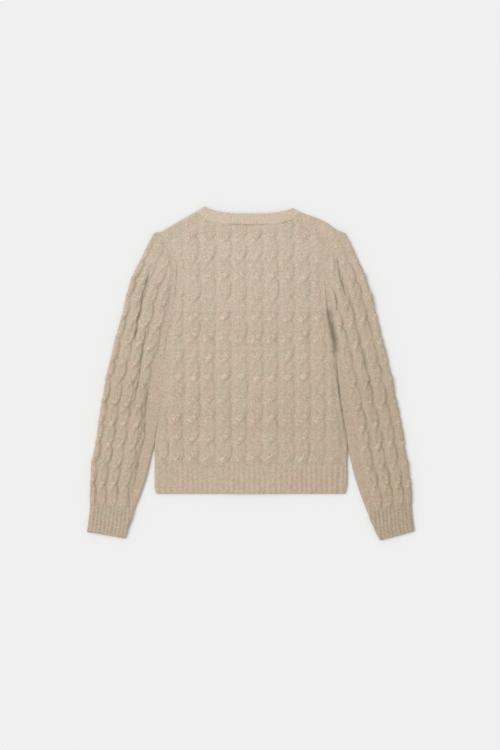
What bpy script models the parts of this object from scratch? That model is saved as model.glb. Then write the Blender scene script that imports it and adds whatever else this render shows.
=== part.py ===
"""A cable knit cardigan laid flat on its front, with its back up.

Z is up and the garment lies on Z = 0 with its neck towards +Y. The fronts lie
lowest, the back lies on them, and the sleeves lie beside the body. Every knit
piece is a wall lofted through rows of points: an outer line with the cables or
ribs raised in it, and a plain inner line. The tables are in millimetres, and
loft() turns them into metres.
"""

import math

import bmesh
import bpy
import numpy as np

MM = 0.001

# Walls and layers
WALL = 3.0            # plain knitted wall
CABLE = 4.0           # how far a cable stands above the wall
RIB = 1.3             # how far a rib stands above the wall
SEAM = 0.5            # gap between pieces that are sewn together
NECK_GAP = 0.8        # gap at the curved seam below the neckband
SLEEVE_GAP = 1.4      # gap at the armhole and along the body's side
HOLLOW = 0.6          # air between two layers of cloth
UPPER = WALL + HOLLOW             # underside of the upper layer
TOP = UPPER + WALL                # plain outer face of the upper layer
FOLD = TOP / 2                    # outer radius of a folded edge
CREASE = HOLLOW / 2               # inner radius of a folded edge
EDGE_WALL = 1.0       # wall left at a free edge that rolls over
FREE_ROLL = 6.0       # width over which a free edge rolls over, or more
SEWN_ROLL = 3.0       # width over which an edge dips where a sleeve is sewn on
SEWN_DIP = 1.2        # and how far it dips
EDGE_SHARES = (0.0, 0.15, 0.5)    # where the points of a rolled edge lie across it
FLAP_ARC = (-50.0, -15.0, 20.0, 55.0, 90.0)   # angles round the fold over a shoulder
FLAP_SHARES = (0.0, 0.4, 0.7, 1.0)            # where the points across a front lie
FLAP_BOW = {"left": 0.4, "right": 4.4}        # how far that fold bows outwards

# Lengths along the body
HEM_Y = -240.0        # lower edge of the body
RIB_Y = -180.0        # seam between the hem ribs and the panels
BODY_RIBS = 36
CUFF_RIBS = 8
GAP_TIP_Y = -128.0    # below this the sleeves swing away from the body

# The cables: crossings repeat up the panels, columns repeat across them
CROSSING = 40.1       # from one crossing to the next up the back
FIRST_CROSSING = -129.6
COLUMN = 31.5         # width of a cable with its gutter, on the back
COLUMNS = 12
CENTRE_GUTTER = -5.0  # X of the gutter below the middle of the back neck
ROWS_A_CROSSING = 4
SLEEVE_CROSSING = 41.0
FADE = 12.0           # a cable sinks into the wall over this width at a seam
CROWD = 0.5           # spacing of the points that a seam cuts off

# Neck
BAND_POWER = 3.0      # how flat the neck's upper edge is across the middle
SEAM_POWER = 4.0      # how flat the neckband's seam is
NECK_DIP = 319.6      # Y of the neck edge at the middle of the back
BAND_DIP = 297.6      # Y of the neckband's seam at the middle of the back
FRONT_NECK = 239.0    # Y of the neck edge at the middle of the front
FRONT_SEAM = 217.0    # Y of the neckband's seam at the middle of the front
NECK_ANGLES = (0.0, 12.0, 25.0, 40.0, 55.0, 70.0, 82.0, 90.0)   # round the front neck

# Button bands, buttons
BAND_HALF = 16.0      # half the width of a button band
BAND_LAP = 5.0        # how far the button band laps over the left front
BUTTONS = 7
BUTTON_RADIUS = 8.5
BUTTON_THICK = 1.6
BUTTON_CLEAR = 0.3
BUTTON_FIRST = -222.0
BUTTON_LAST = 226.0

# The back rises over the two button bands, which lie on each other under it
BAND_GAP = 0.3        # air between the two button bands
RISE = WALL + BAND_GAP
RISE_FLAT = 22.0      # half width of the raised strip
RISE_END = 80.0       # where the back is down on the fronts again
RISE_STOP_Y = 245.0
RISE_GONE_Y = 288.0

# How the two strands of a cable lie across a column, at each quarter of the way
# from one crossing to the next: sideways places in column widths from the
# column's middle, heights in cable heights. The strand that rises to the right
# lies on top at a crossing.
TWIST = np.array([
    (-0.24, 0.36, 0.00, 1.00, 0.24, 0.36),
    (-0.29, 0.62, -0.09, 0.30, 0.18, 1.00),
    (-0.27, 0.86, 0.00, 0.20, 0.27, 0.86),
    (-0.18, 1.00, 0.09, 0.30, 0.29, 0.62),
], dtype=[("left_x", float), ("left_h", float), ("middle_x", float),
          ("middle_h", float), ("right_x", float), ("right_h", float)])

# The body's sides and armholes: X at each height, and how far the edge rolls
# over there, which is little where a sleeve is sewn on
SIDES = np.array([
    (-240.0, -188.0, 188.5, 8.0, 8.0),
    (-232.0, -190.5, 191.5, 8.0, 8.0),
    (-215.0, -191.5, 193.5, 8.0, 8.0),
    (-180.0, -191.0, 193.0, 8.0, 8.0),
    (-136.0, -190.5, 193.5, 8.0, 8.0),
    (-95.0, -185.0, 187.0, 7.0, 7.0),
    (-54.0, -179.0, 180.0, 6.0, 7.0),
    (26.0, -172.5, 172.5, 6.0, 8.0),
    (70.0, -168.0, 168.0, 6.0, 9.0),
    (110.0, -158.0, 157.0, 5.0, 9.0),
    (160.0, -150.0, 150.0, 4.0, 7.0),
    (196.0, -146.5, 146.5, 3.0, 4.0),
    (220.0, -147.5, 147.0, 3.0, 3.0),
    (240.0, -155.0, 153.0, 3.0, 3.0),
    (262.0, -166.0, 160.0, 3.0, 3.0),
    (286.0, -187.0, 170.0, 3.0, 3.0),
], dtype=[("y", float), ("left", float), ("right", float),
          ("left_roll", float), ("right_roll", float)])

# A sleeve's outer edge, and its inner edge, from the cuff's end to the
# shoulder. Where it lies against the body, the inner edge follows the side.
SLEEVE_COLUMNS = [("outer_x", float), ("outer_y", float),
                  ("inner_x", float), ("inner_y", float)]
SLEEVES = {
    "left": np.array([
        (-327.5, -316.0, -251.0, -329.5),
        (-324.5, -294.0, -243.0, -307.0),
        (-320.5, -257.0, -231.0, -270.0),
        (-319.5, -225.0, -219.0, -241.0),
        (-318.0, -190.0, -208.0, -207.0),
        (-311.0, -150.0, -198.5, -168.0),
        (-304.5, -110.0, -190.0, -128.0),
        (-296.0, -54.0, -182.0, -73.0),
        (-286.0, 0.0, -175.0, -20.0),
        (-271.5, 60.0, -170.0, 38.0),
        (-258.0, 110.0, -165.0, 86.0),
        (-246.0, 160.0, -153.0, 132.0),
        (-233.5, 200.0, -148.0, 175.0),
        (-217.5, 232.0, -148.0, 213.0),
        (-206.0, 257.0, -160.0, 248.0),
        (-195.0, 279.5, -181.0, 283.0),
    ], dtype=SLEEVE_COLUMNS),
    "right": np.array([
        (328.5, -314.5, 258.5, -333.0),
        (325.5, -294.0, 247.0, -309.0),
        (322.5, -257.0, 232.0, -272.0),
        (320.5, -225.0, 220.0, -241.0),
        (315.5, -190.0, 209.0, -207.0),
        (308.5, -150.0, 199.5, -168.0),
        (303.0, -110.0, 192.5, -128.0),
        (291.0, -54.0, 183.0, -73.0),
        (280.0, 0.0, 175.0, -20.0),
        (265.0, 60.0, 171.0, 38.0),
        (253.0, 110.0, 165.0, 86.0),
        (240.0, 160.0, 155.0, 132.0),
        (226.5, 200.0, 149.0, 175.0),
        (212.5, 232.0, 147.0, 213.0),
        (201.5, 257.0, 156.0, 248.0),
        (191.0, 279.5, 168.0, 287.0),
    ], dtype=SLEEVE_COLUMNS),
}
CUFF_ROW = 2          # the row of the tables above where the cuff is sewn on
SLEEVE_PITCH = {"left": 24.0, "right": 25.5}   # width of a sleeve's cables
CUFF_PITCH = 21.5     # and their width where they meet the cuff
OUTER_GUTTER = 14.0   # from the folded edge to the first gutter
SLEEVE_COLUMNS_SHOWN = 3

# The deepest folds of the knit as it lies: soft troughs from one end to the other
TROUGHS = np.array([
    (-205.0, 212.0, -235.0, 56.0, 2.0, 8.0),
    (-205.0, 114.0, -220.0, -20.0, 1.3, 8.0),
    (-200.0, 0.0, -226.0, -200.0, 1.4, 8.0),
    (177.0, 236.0, 206.0, 94.0, 2.0, 8.0),
    (212.0, 200.0, 245.0, 70.0, 1.5, 8.0),
    (229.0, 30.0, 268.0, -160.0, 1.3, 8.0),
    (-128.0, 215.0, -134.0, 120.0, 0.8, 8.0),
    (120.0, 190.0, 128.0, 40.0, 0.7, 9.0),
], dtype=[("x0", float), ("y0", float), ("x1", float), ("y1", float),
          ("depth", float), ("width", float)])

KNIT_COLOUR = (0.533, 0.440, 0.337, 1.0)
RIB_COLOUR = (0.500, 0.412, 0.310, 1.0)
BUTTON_COLOUR = (0.330, 0.235, 0.145, 1.0)


def ease(value):
    """0 below 0, 1 above 1, and a smooth step between."""
    value = min(max(value, 0.0), 1.0)
    return value * value * (3.0 - 2.0 * value)


def read(table, key, column, where):
    """A column of a table on the smooth curve through its rows."""
    places = table[key]
    values = table[column]
    slopes = np.gradient(values, places)
    row = int(np.clip(np.searchsorted(places, where) - 1, 0, len(places) - 2))
    span = places[row + 1] - places[row]
    t = min(max((where - places[row]) / span, 0.0), 1.0)
    start = (1 + 2 * t) * (1 - t) ** 2 * values[row]
    end = t * t * (3 - 2 * t) * values[row + 1]
    leave = t * (1 - t) ** 2 * span * slopes[row]
    arrive = t * t * (t - 1) * span * slopes[row + 1]
    return float(start + end + leave + arrive)


def side(which, y):
    """X of the body's side seam or armhole."""
    return read(SIDES, "y", which, y)


def trough(x, y):
    """How far the folds lower the cloth at a point."""
    depth = 0.0
    for fold in TROUGHS:
        run = np.array([fold["x1"] - fold["x0"], fold["y1"] - fold["y0"]])
        offset = np.array([x - fold["x0"], y - fold["y0"]])
        along = float(offset @ run / (run @ run))
        across = float(offset[0] * run[1] - offset[1] * run[0]) / np.linalg.norm(run)
        ends = ease(along * 4.0) * ease((1.0 - along) * 4.0)
        depth += fold["depth"] * ends * math.exp(-(across / fold["width"]) ** 2)
    return depth


def rise(x, y):
    """How far the back is raised over the button bands."""
    across = 1.0 - (abs(x) - RISE_FLAT) / (RISE_END - RISE_FLAT)
    up = 1.0 - (y - RISE_STOP_Y) / (RISE_GONE_Y - RISE_STOP_Y)
    return RISE * min(max(across, 0.0), 1.0) * ease(up)


def rolled(height, distance, roll):
    """The height of a top face near an edge that rolls over, down to a thin
    edge where it is free and only a little where a sleeve is sewn on."""
    if distance >= roll:
        return height
    free = ease((roll - SEWN_ROLL) / (FREE_ROLL - SEWN_ROLL))
    low = (TOP - SEWN_DIP) * (1.0 - free) + (UPPER + EDGE_WALL) * free
    share = 1.0 - (1.0 - distance / roll) ** 2
    return low + (height - low) * math.sqrt(max(share, 0.0))


def strands(quarter, centre, width, direction):
    """(place, height) of a column's three inner points, in order along a row."""
    row = TWIST[quarter % ROWS_A_CROSSING]
    points = [(centre + direction * width * row[name + "_x"], row[name + "_h"])
              for name in ("left", "middle", "right")]
    return points if direction > 0 else points[::-1]


def cut_off(places, low, high):
    """Places along a row, with those past either end crowded against it."""
    count = len(places)
    return [min(max(place, low + CROWD * i), high - CROWD * (count - 1 - i))
            for i, place in enumerate(places)]


def collection():
    """The garment's collection, made once."""
    found = bpy.data.collections.get("cable_knit_cardigan")
    if found is None:
        found = bpy.data.collections.new("cable_knit_cardigan")
        bpy.context.scene.collection.children.link(found)
    return found


def finish(obj, colour, roughness):
    """Give an object its own material and put it in the garment's collection."""
    material = bpy.data.materials.new(obj.name)
    material.use_nodes = True
    shader = material.node_tree.nodes["Principled BSDF"]
    shader.inputs["Base Color"].default_value = colour
    shader.inputs["Roughness"].default_value = roughness
    shader.inputs["Metallic"].default_value = 0.0
    material.diffuse_color = colour
    obj.data.materials.clear()
    obj.data.materials.append(material)
    for other in list(obj.users_collection):
        other.objects.unlink(obj)
    collection().objects.link(obj)
    return obj


def zip_lines(bm, first, second):
    """Fill the strip between two open lines that run side by side, with the
    shorter of the two possible edges each time."""
    i = 0
    j = 0
    while i < len(first) - 1 or j < len(second) - 1:
        step_first = math.inf
        step_second = math.inf
        if i < len(first) - 1:
            step_first = (first[i + 1].co - second[j].co).length
        if j < len(second) - 1:
            step_second = (first[i].co - second[j + 1].co).length
        if step_first <= step_second:
            bm.faces.new((first[i], first[i + 1], second[j]))
            i += 1
        else:
            bm.faces.new((first[i], second[j + 1], second[j]))
            j += 1


def loft(name, rows, colour):
    """One closed wall through rows, each an (outer line, inner line). Between two
    rows each face is split along its higher diagonal, so that ridges stay whole."""
    bm = bmesh.new()
    rings = []
    for outer, inner in rows:
        outer_verts = [bm.verts.new([c * MM for c in point]) for point in outer]
        inner_verts = [bm.verts.new([c * MM for c in point]) for point in inner]
        rings.append((outer_verts, inner_verts))
    for (outer_a, inner_a), (outer_b, inner_b) in zip(rings, rings[1:]):
        ring_a = outer_a + inner_a[::-1]
        ring_b = outer_b + inner_b[::-1]
        for i in range(len(ring_a)):
            j = (i + 1) % len(ring_a)
            rising = ring_a[i].co.z + ring_b[j].co.z
            falling = ring_a[j].co.z + ring_b[i].co.z
            if rising >= falling:
                bm.faces.new((ring_a[i], ring_a[j], ring_b[j]))
                bm.faces.new((ring_a[i], ring_b[j], ring_b[i]))
            else:
                bm.faces.new((ring_a[i], ring_a[j], ring_b[i]))
                bm.faces.new((ring_a[j], ring_b[j], ring_b[i]))
    for outer_verts, inner_verts in (rings[0], rings[-1]):
        zip_lines(bm, outer_verts, inner_verts)
    bmesh.ops.recalc_face_normals(bm, faces=bm.faces)
    mesh = bpy.data.meshes.new(name)
    bm.to_mesh(mesh)
    bm.free()
    mesh.shade_smooth()
    mesh.set_sharp_from_angle(angle=math.radians(75))
    obj = bpy.data.objects.new(name, mesh)
    bpy.context.scene.collection.objects.link(obj)
    return finish(obj, colour, 0.95)


def neck_peak(which):
    """The neck edge where it folds over the shoulder, on the fold's axis."""
    return (-89.3, 331.5) if which == "left" else (80.8, 328.0)


def seam_peak(which):
    """The neckband's seam where it folds over the shoulder."""
    return (-106.4, 320.7) if which == "left" else (98.5, 319.4)


def shoulder_tip(which):
    """The armhole where it folds over the shoulder."""
    y = 278.5 if which == "left" else 284.5
    return (side(which, y), y)


def back_neck(edge, t):
    """A point across the back neck, t from -1 at the left to 1 at the right."""
    peak = neck_peak if edge == "neck" else seam_peak
    dip = NECK_DIP if edge == "neck" else BAND_DIP
    power = BAND_POWER if edge == "neck" else SEAM_POWER
    end = peak("left" if t < 0 else "right")
    x = CENTRE_GUTTER + (end[0] - CENTRE_GUTTER) * abs(t)
    return (x, dip + (end[1] - dip) * abs(t) ** power)


def band_seam_y(x):
    """Y of the neckband's seam across the back at x."""
    end = seam_peak("left" if x < CENTRE_GUTTER else "right")
    t = abs((x - CENTRE_GUTTER) / (end[0] - CENTRE_GUTTER))
    return BAND_DIP + (end[1] - BAND_DIP) * t ** SEAM_POWER


SHOULDER_NECK = {"left": (-93.0, band_seam_y(-93.0)), "right": (84.0, band_seam_y(84.0))}
SHOULDER_SIDE = {"left": (side("left", 262.0), 262.0), "right": (side("right", 262.0), 262.0)}
# The plain inside of the back is straight from one of these places to the next
INSIDE_X = [SHOULDER_NECK["left"][0], -RISE_END, -50.0, -RISE_FLAT,
            RISE_FLAT, 45.0, 66.0, SHOULDER_NECK["right"][0]]


def back_top(x, left, right):
    """Y of the back's upper edge above a point of a row that runs from left to
    right: the neckband's seam, then the shoulder seams down to the armholes."""
    which = "left" if x < CENTRE_GUTTER else "right"
    neck_x, neck_y = SHOULDER_NECK[which]
    side_y = SHOULDER_SIDE[which][1]
    row_end = left if which == "left" else right
    if abs(x - CENTRE_GUTTER) <= abs(neck_x - CENTRE_GUTTER):
        return band_seam_y(x)
    return neck_y + (side_y - neck_y) * (x - neck_x) / (row_end - neck_x)


def back():
    """The back panel, twelve cables wide."""
    level_rows = 41
    top_rows = 8
    spacing = CROSSING / ROWS_A_CROSSING
    first_quarter = -5
    rows = []
    for j in range(level_rows + top_rows):
        quarter = first_quarter + j
        level = FIRST_CROSSING + spacing * (first_quarter + min(j, level_rows - 1))
        blend = max(j - level_rows + 1, 0) / top_rows
        corner_y = level + (SHOULDER_SIDE["left"][1] - level) * blend
        left = side("left", corner_y)
        right = side("right", corner_y)
        left_roll = read(SIDES, "y", "left_roll", corner_y)
        right_roll = read(SIDES, "y", "right_roll", corner_y)
        if j == 0:
            level = RIB_Y + SEAM
        places = []
        heights = []
        for column in range(COLUMNS):
            gutter = CENTRE_GUTTER + COLUMN * (column - COLUMNS / 2)
            places.append(gutter)
            heights.append(0.0)
            for place, height in strands(quarter, gutter + COLUMN / 2, COLUMN, 1):
                places.append(place)
                heights.append(height)
        places.append(CENTRE_GUTTER + COLUMN * COLUMNS / 2)
        heights.append(0.0)
        for corner in (SHOULDER_NECK["left"][0], SHOULDER_NECK["right"][0]):
            nearest = min(range(len(places)), key=lambda i: abs(places[i] - corner))
            places[nearest] += (corner - places[nearest]) * blend
        places = cut_off(places, left + left_roll, right - right_roll)
        outer = []
        for share in EDGE_SHARES:
            outer.append((left + share * left_roll, share * left_roll, left_roll, 0.0))
        for place, height in zip(places, heights):
            nearer_left = place - left < right - place
            distance = place - left if nearer_left else right - place
            roll = left_roll if nearer_left else right_roll
            outer.append((place, distance, roll, height * ease((distance - roll) / FADE)))
        for share in reversed(EDGE_SHARES):
            outer.append((right - share * right_roll, share * right_roll, right_roll, 0.0))
        top_fade = 1.0
        if blend > 0:
            top_fade = ease((1.0 - blend) * 3.0)
        if j == 0:
            top_fade = 0.4
        line = []
        for x, distance, roll, height in outer:
            y = level + (back_top(x, left, right) - NECK_GAP - level) * blend
            z = TOP + rise(x, y) + CABLE * height * top_fade - trough(x, y)
            line.append((x, y, rolled(z, distance, roll)))
        inner = []
        for x in [left] + INSIDE_X + [right]:
            y = level + (back_top(x, left, right) - NECK_GAP * 2 - level) * blend
            inner.append((x, y, UPPER + rise(x, y)))
        rows.append((line, inner))
    return loft("back", rows, KNIT_COLOUR)


def ribs(count, start, end):
    """(place, height) of the points across a run of ribs."""
    width = (end - start) / count
    points = [(start, 0.0)]
    for i in range(count):
        for share, height in ((0.3, 1.0), (0.7, 1.0), (1.0, 0.0)):
            points.append((start + width * (i + share), height))
    return points


def back_hem():
    """The ribbed welt below the back."""
    rows = []
    for y, lift in ((HEM_Y, -1.3), (HEM_Y + 2.0, -0.2), (HEM_Y + 10.0, 0.0), (RIB_Y - 8.0, 0.0),
                    (RIB_Y, -0.3)):
        left = side("left", y)
        right = side("right", y)
        roll = read(SIDES, "y", "left_roll", y)
        outer = []
        for share in EDGE_SHARES:
            outer.append((left + share * roll, 0.0))
        outer += ribs(BODY_RIBS, left + roll, right - roll)
        for share in reversed(EDGE_SHARES):
            outer.append((right - share * roll, 0.0))
        line = []
        for x, height in outer:
            z = TOP + rise(x, y) + RIB * height + lift
            distance = min(x - left, right - x)
            line.append((x, y, rolled(z, distance, roll)))
        inner = [(x, y, UPPER + rise(x, y))
                 for x in (left, -RISE_END, -RISE_FLAT, RISE_FLAT, RISE_END, right)]
        rows.append((line, inner))
    return loft("back_hem", rows, RIB_COLOUR)


def sleeve_row(which, along, attached):
    """A row's ends and direction at a place along the sleeve's middle."""
    table = SLEEVES[which]
    middle = np.stack([(table["outer_x"] + table["inner_x"]) / 2,
                       (table["outer_y"] + table["inner_y"]) / 2], axis=1)
    steps = np.linalg.norm(np.diff(middle, axis=0), axis=1)
    places = np.concatenate([[0.0], np.cumsum(steps)])
    length = float(places[-1])
    cuff = float(places[CUFF_ROW])
    columns = np.array(list(zip(places, table["outer_x"], table["outer_y"],
                                table["inner_x"], table["inner_y"])),
                       dtype=[("along", float)] + SLEEVE_COLUMNS)
    outer = np.array([read(columns, "along", "outer_x", along),
                      read(columns, "along", "outer_y", along)])
    inner = np.array([read(columns, "along", "inner_x", along),
                      read(columns, "along", "inner_y", along)])
    if attached:
        sign = -1.0 if which == "left" else 1.0
        against = side(which, inner[1]) + sign * SLEEVE_GAP
        free = sign * max(sign * inner[0], sign * against)
        inner[0] = against + (free - against) * ease((GAP_TIP_Y - inner[1]) / 30.0)
    return outer, inner, length, cuff


def folded(outer, inner, points, roll, bulge):
    """A row of a folded tube: the top from the inner edge to the outer edge, the
    fold, and the flat underside back to the inner edge. The points on the top
    are (distance from the inner edge, height above the plain top)."""
    run = outer - inner
    width = float(np.linalg.norm(run))
    run = run / width
    line = []

    def place(distance, z):
        spot = inner + run * distance
        line.append((float(spot[0]), float(spot[1]), z))

    for distance, height in points:
        x, y = inner + run * distance
        z = TOP + height - trough(float(x), float(y))
        place(distance, rolled(z, distance, roll))
    axis = width - FOLD
    for angle in (62.0, 25.0, -15.0, -52.0):
        turn = math.radians(angle)
        reach = FOLD + bulge * math.cos(turn)
        place(axis + reach * math.cos(turn), FOLD + FOLD * math.sin(turn))
    place(axis, 0.0)
    place(0.0, 0.0)
    outer_line = line
    line = []
    place(0.0, UPPER)
    place(axis, UPPER)
    place(axis + CREASE, FOLD)
    place(axis, WALL)
    place(0.0, WALL)
    return outer_line, line


def sleeve(which):
    """A cabled sleeve, folded along its outer edge and open at both ends."""
    direction = -1 if which == "left" else 1
    _, _, length, cuff = sleeve_row(which, 0.0, False)
    spacing = SLEEVE_CROSSING / ROWS_A_CROSSING
    count = int((length - cuff) / spacing)
    rows = []
    for j in range(count + 1):
        along = cuff + SEAM + (length - cuff - SEAM) * j / count
        outer, inner, _, _ = sleeve_row(which, along, True)
        width = float(np.linalg.norm(outer - inner))
        pitch = CUFF_PITCH + (SLEEVE_PITCH[which] - CUFF_PITCH) * ease(j * spacing / 110.0)
        roll = read(SIDES, "y", which + "_roll", float(inner[1]))
        if inner[1] < -140.0:
            roll = FREE_ROLL
        first = width - OUTER_GUTTER - pitch * SLEEVE_COLUMNS_SHOWN
        places = [first]
        heights = [0.0]
        for column in range(SLEEVE_COLUMNS_SHOWN):
            centre = first + pitch * (column + 0.5)
            for place, height in strands(j, centre, pitch, direction):
                places.append(place)
                heights.append(height)
            places.append(first + pitch * (column + 1))
            heights.append(0.0)
        places.append(width - OUTER_GUTTER * 0.55)
        heights.append(0.75)
        places = cut_off(places, roll + 1.0, width - FOLD * 1.1)
        end_fade = ease((count - j) / 4.0)
        if j == 0:
            end_fade = 0.4
        points = [(share * roll, 0.0) for share in EDGE_SHARES]
        for place, height in zip(places, heights):
            fade = ease((place - roll) / FADE)
            points.append((place, CABLE * height * fade * end_fade * (pitch / 28.0)))
        bulge = 0.4 + 1.3 * (0.5 + 0.5 * math.cos(math.pi * (j % 4) / 2)) * end_fade
        rows.append(folded(outer, inner, points, roll, bulge))
    return loft("sleeve_" + which, rows, KNIT_COLOUR)


def cuff(which):
    """A ribbed cuff, folded as its sleeve is."""
    _, _, _, end = sleeve_row(which, 0.0, False)
    rows = []
    for along, lift in ((0.0, -1.4), (2.0, -0.2), (9.0, 0.0), (end - 8.0, 0.0), (end, -0.2)):
        outer, inner, _, _ = sleeve_row(which, along, False)
        width = float(np.linalg.norm(outer - inner))
        roll = FREE_ROLL
        points = [(share * roll, lift) for share in EDGE_SHARES]
        for place, height in ribs(CUFF_RIBS, roll, width - FOLD * 1.2):
            points.append((place, RIB * height + lift))
        rows.append(folded(outer, inner, points, roll, 0.3))
    return loft("cuff_" + which, rows, RIB_COLOUR)


def fold_over(point, outward, radius, angle):
    """A point on a fold's arc round an axis point, -90 below and 90 above."""
    turn = math.radians(angle)
    return (point[0] + outward[0] * radius * math.cos(turn),
            point[1] + outward[1] * radius * math.cos(turn),
            FOLD + radius * math.sin(turn))


def shoulder_outward(which):
    """The direction in plan that a shoulder's fold faces."""
    a = np.array(seam_peak(which))
    b = np.array(shoulder_tip(which))
    run = (b - a) / np.linalg.norm(b - a)
    normal = np.array([-run[1], run[0]])
    return normal if normal[1] > 0 else -normal


def front_neck(which, edge, angle):
    """A point on the front neck, from 0 at the middle to 90 at the shoulder."""
    peak = neck_peak(which) if edge == "neck" else seam_peak(which)
    start_x = BAND_HALF + SEAM if which == "right" else -BAND_HALF - SEAM
    start_y = FRONT_NECK if edge == "neck" else FRONT_SEAM
    turn = math.radians(angle)
    return (start_x + (peak[0] - start_x) * math.sin(turn) ** 0.9,
            start_y + (peak[1] - start_y) * (1.0 - math.cos(turn)))


def slide(start, end, distance):
    """A point at a distance from start towards end."""
    start = np.array(start)
    run = np.array(end) - start
    return start + run / np.linalg.norm(run) * distance


def across_front(which, start, end, bow):
    """Points in plan from the neck or band to the side, bowed outwards."""
    start = np.array(start)
    run = np.array(end) - start
    outward = shoulder_outward(which) * FLAP_BOW[which] * bow
    return [start + run * share + outward * math.sin(math.pi * share ** 1.3)
            for share in FLAP_SHARES]


def front(which):
    """A front panel, from its hem over the shoulder to the seam on the back."""
    sign = -1.0 if which == "left" else 1.0
    middle_x = sign * (BAND_HALF + SEAM)
    flat = []
    for y in np.linspace(RIB_Y + SEAM, FRONT_SEAM - 8.0, 20):
        flat.append(((middle_x, y), (side(which, y) - sign * SEAM, y)))
    tip = shoulder_tip(which)
    angles = NECK_ANGLES[:-1]
    for i, angle in enumerate(angles):
        inner = np.array(front_neck(which, "seam", angle)) + np.array([sign * SEAM, -SEAM])
        if angle == 0.0:
            inner[0] = middle_x
        y = FRONT_SEAM + (tip[1] - FRONT_SEAM) * (i + 0.5) / (len(angles) + 0.5)
        flat.append((inner, (side(which, y) - sign * SEAM, y)))
    peak = slide(seam_peak(which), tip, SEAM * 1.3)
    corner = slide(tip, seam_peak(which), SEAM)
    flat.append((peak, corner))
    rows = []
    for neck_end, side_end in flat:
        bow = 1.0 if neck_end is peak else 0.0
        line = across_front(which, neck_end, side_end, bow)
        outer = [(float(x), float(y), 0.0) for x, y in line]
        inner = [(float(x), float(y), WALL) for x, y in line]
        rows.append((outer, inner))
    outward = shoulder_outward(which)
    for angle in FLAP_ARC:
        line = across_front(which, peak, corner, 1.0)
        outer = [fold_over(point, outward, FOLD, angle) for point in line]
        inner = [fold_over(point, outward, CREASE, angle) for point in line]
        rows.append((outer, inner))
    neck_x, neck_y = SHOULDER_NECK[which]
    side_x, side_y = SHOULDER_SIDE[which]
    for share in (0.35, 0.7, 1.0):
        x = peak[0] + (neck_x - peak[0]) * share
        near = np.array([x, band_seam_y(x)]) + np.array([sign * SEAM * 1.3, -SEAM * 0.4])
        far_y = corner[1] + (side_y + SEAM - corner[1]) * share
        far = np.array([side(which, far_y) - sign * SEAM * 1.2, far_y])
        line = across_front(which, near, far, 1.0 - share)
        drop = 0.6 if share == 1.0 else 0.0
        outer = [(float(x), float(y), TOP - drop) for x, y in line]
        inner = [(float(x), float(y), UPPER) for x, y in line]
        rows.append((outer, inner))
    return loft("front_" + which, rows, KNIT_COLOUR)


def front_hem(which):
    """The ribbed welt below a front, plain and flat where it rests."""
    sign = -1.0 if which == "left" else 1.0
    middle_x = sign * (BAND_HALF + SEAM)
    rows = []
    for y in (HEM_Y, HEM_Y + 8.0, -215.0, RIB_Y):
        ends = (middle_x, side(which, y) - sign * SEAM)
        rows.append(([(x, y, 0.0) for x in ends], [(x, y, WALL) for x in ends]))
    return loft("front_hem_" + which, rows, RIB_COLOUR)


def neckband():
    """One strip from front edge to front edge round the back neck."""
    rows = []
    for share, lift in ((0.0, -1.0), (0.12, 0.0), (0.5, 0.3), (0.88, 0.0), (1.0, -0.6)):
        outer = []
        inner = []

        def between(first, second):
            """A point part of the way from the neck edge to the seam."""
            return np.array(first) + (np.array(second) - np.array(first)) * share

        for which in ("right", "left"):
            lower = []
            for angle in NECK_ANGLES:
                point = between(front_neck(which, "neck", angle), front_neck(which, "seam", angle))
                lower.append(point)
            peak = lower[-1]
            outward = shoulder_outward(which)
            under = [(float(x), float(y), 0.0) for x, y in lower]
            over = [fold_over(peak, outward, FOLD, angle) for angle in FLAP_ARC]
            inside_under = [(float(x), float(y), WALL) for x, y in lower]
            inside_over = [fold_over(peak, outward, CREASE, angle) for angle in (0.0, 90.0)]
            if which == "right":
                outer += under + over
                inner += inside_under + inside_over
                for t in np.linspace(0.96, -0.96, 25):
                    x, y = between(back_neck("neck", t), back_neck("seam", t))
                    outer.append((float(x), float(y), TOP + lift))
                for t in (0.94, 0.8, 0.6, 0.3, 0.0, -0.3, -0.6, -0.8, -0.94):
                    x, y = between(back_neck("neck", t), back_neck("seam", t))
                    inner.append((float(x), float(y), UPPER))
            else:
                outer += over[::-1] + under[::-1]
                inner += inside_over[::-1] + inside_under[::-1]
        rows.append((outer, inner))
    return loft("neckband", rows, RIB_COLOUR)


def band(name, left, right, low):
    """A button band: a flat strip from the hem to the neck, with eased edges."""
    width = (right - left) * MM
    length = (FRONT_NECK - HEM_Y) * MM
    bpy.ops.mesh.primitive_cube_add(size=1.0)
    obj = bpy.context.object
    obj.name = name
    obj.data.name = name
    bmesh_box = bmesh.new()
    bmesh_box.from_mesh(obj.data)
    bmesh.ops.scale(bmesh_box, vec=(width, length, WALL * MM), verts=bmesh_box.verts)
    bmesh_box.to_mesh(obj.data)
    bmesh_box.free()
    obj.location = ((left + right) / 2 * MM, (FRONT_NECK + HEM_Y) / 2 * MM, (low + WALL / 2) * MM)
    return finish(obj, RIB_COLOUR, 0.95)


def button_places():
    """Y of each button."""
    step = (BUTTON_LAST - BUTTON_FIRST) / (BUTTONS - 1)
    return [BUTTON_FIRST + step * i for i in range(BUTTONS)]


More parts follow.
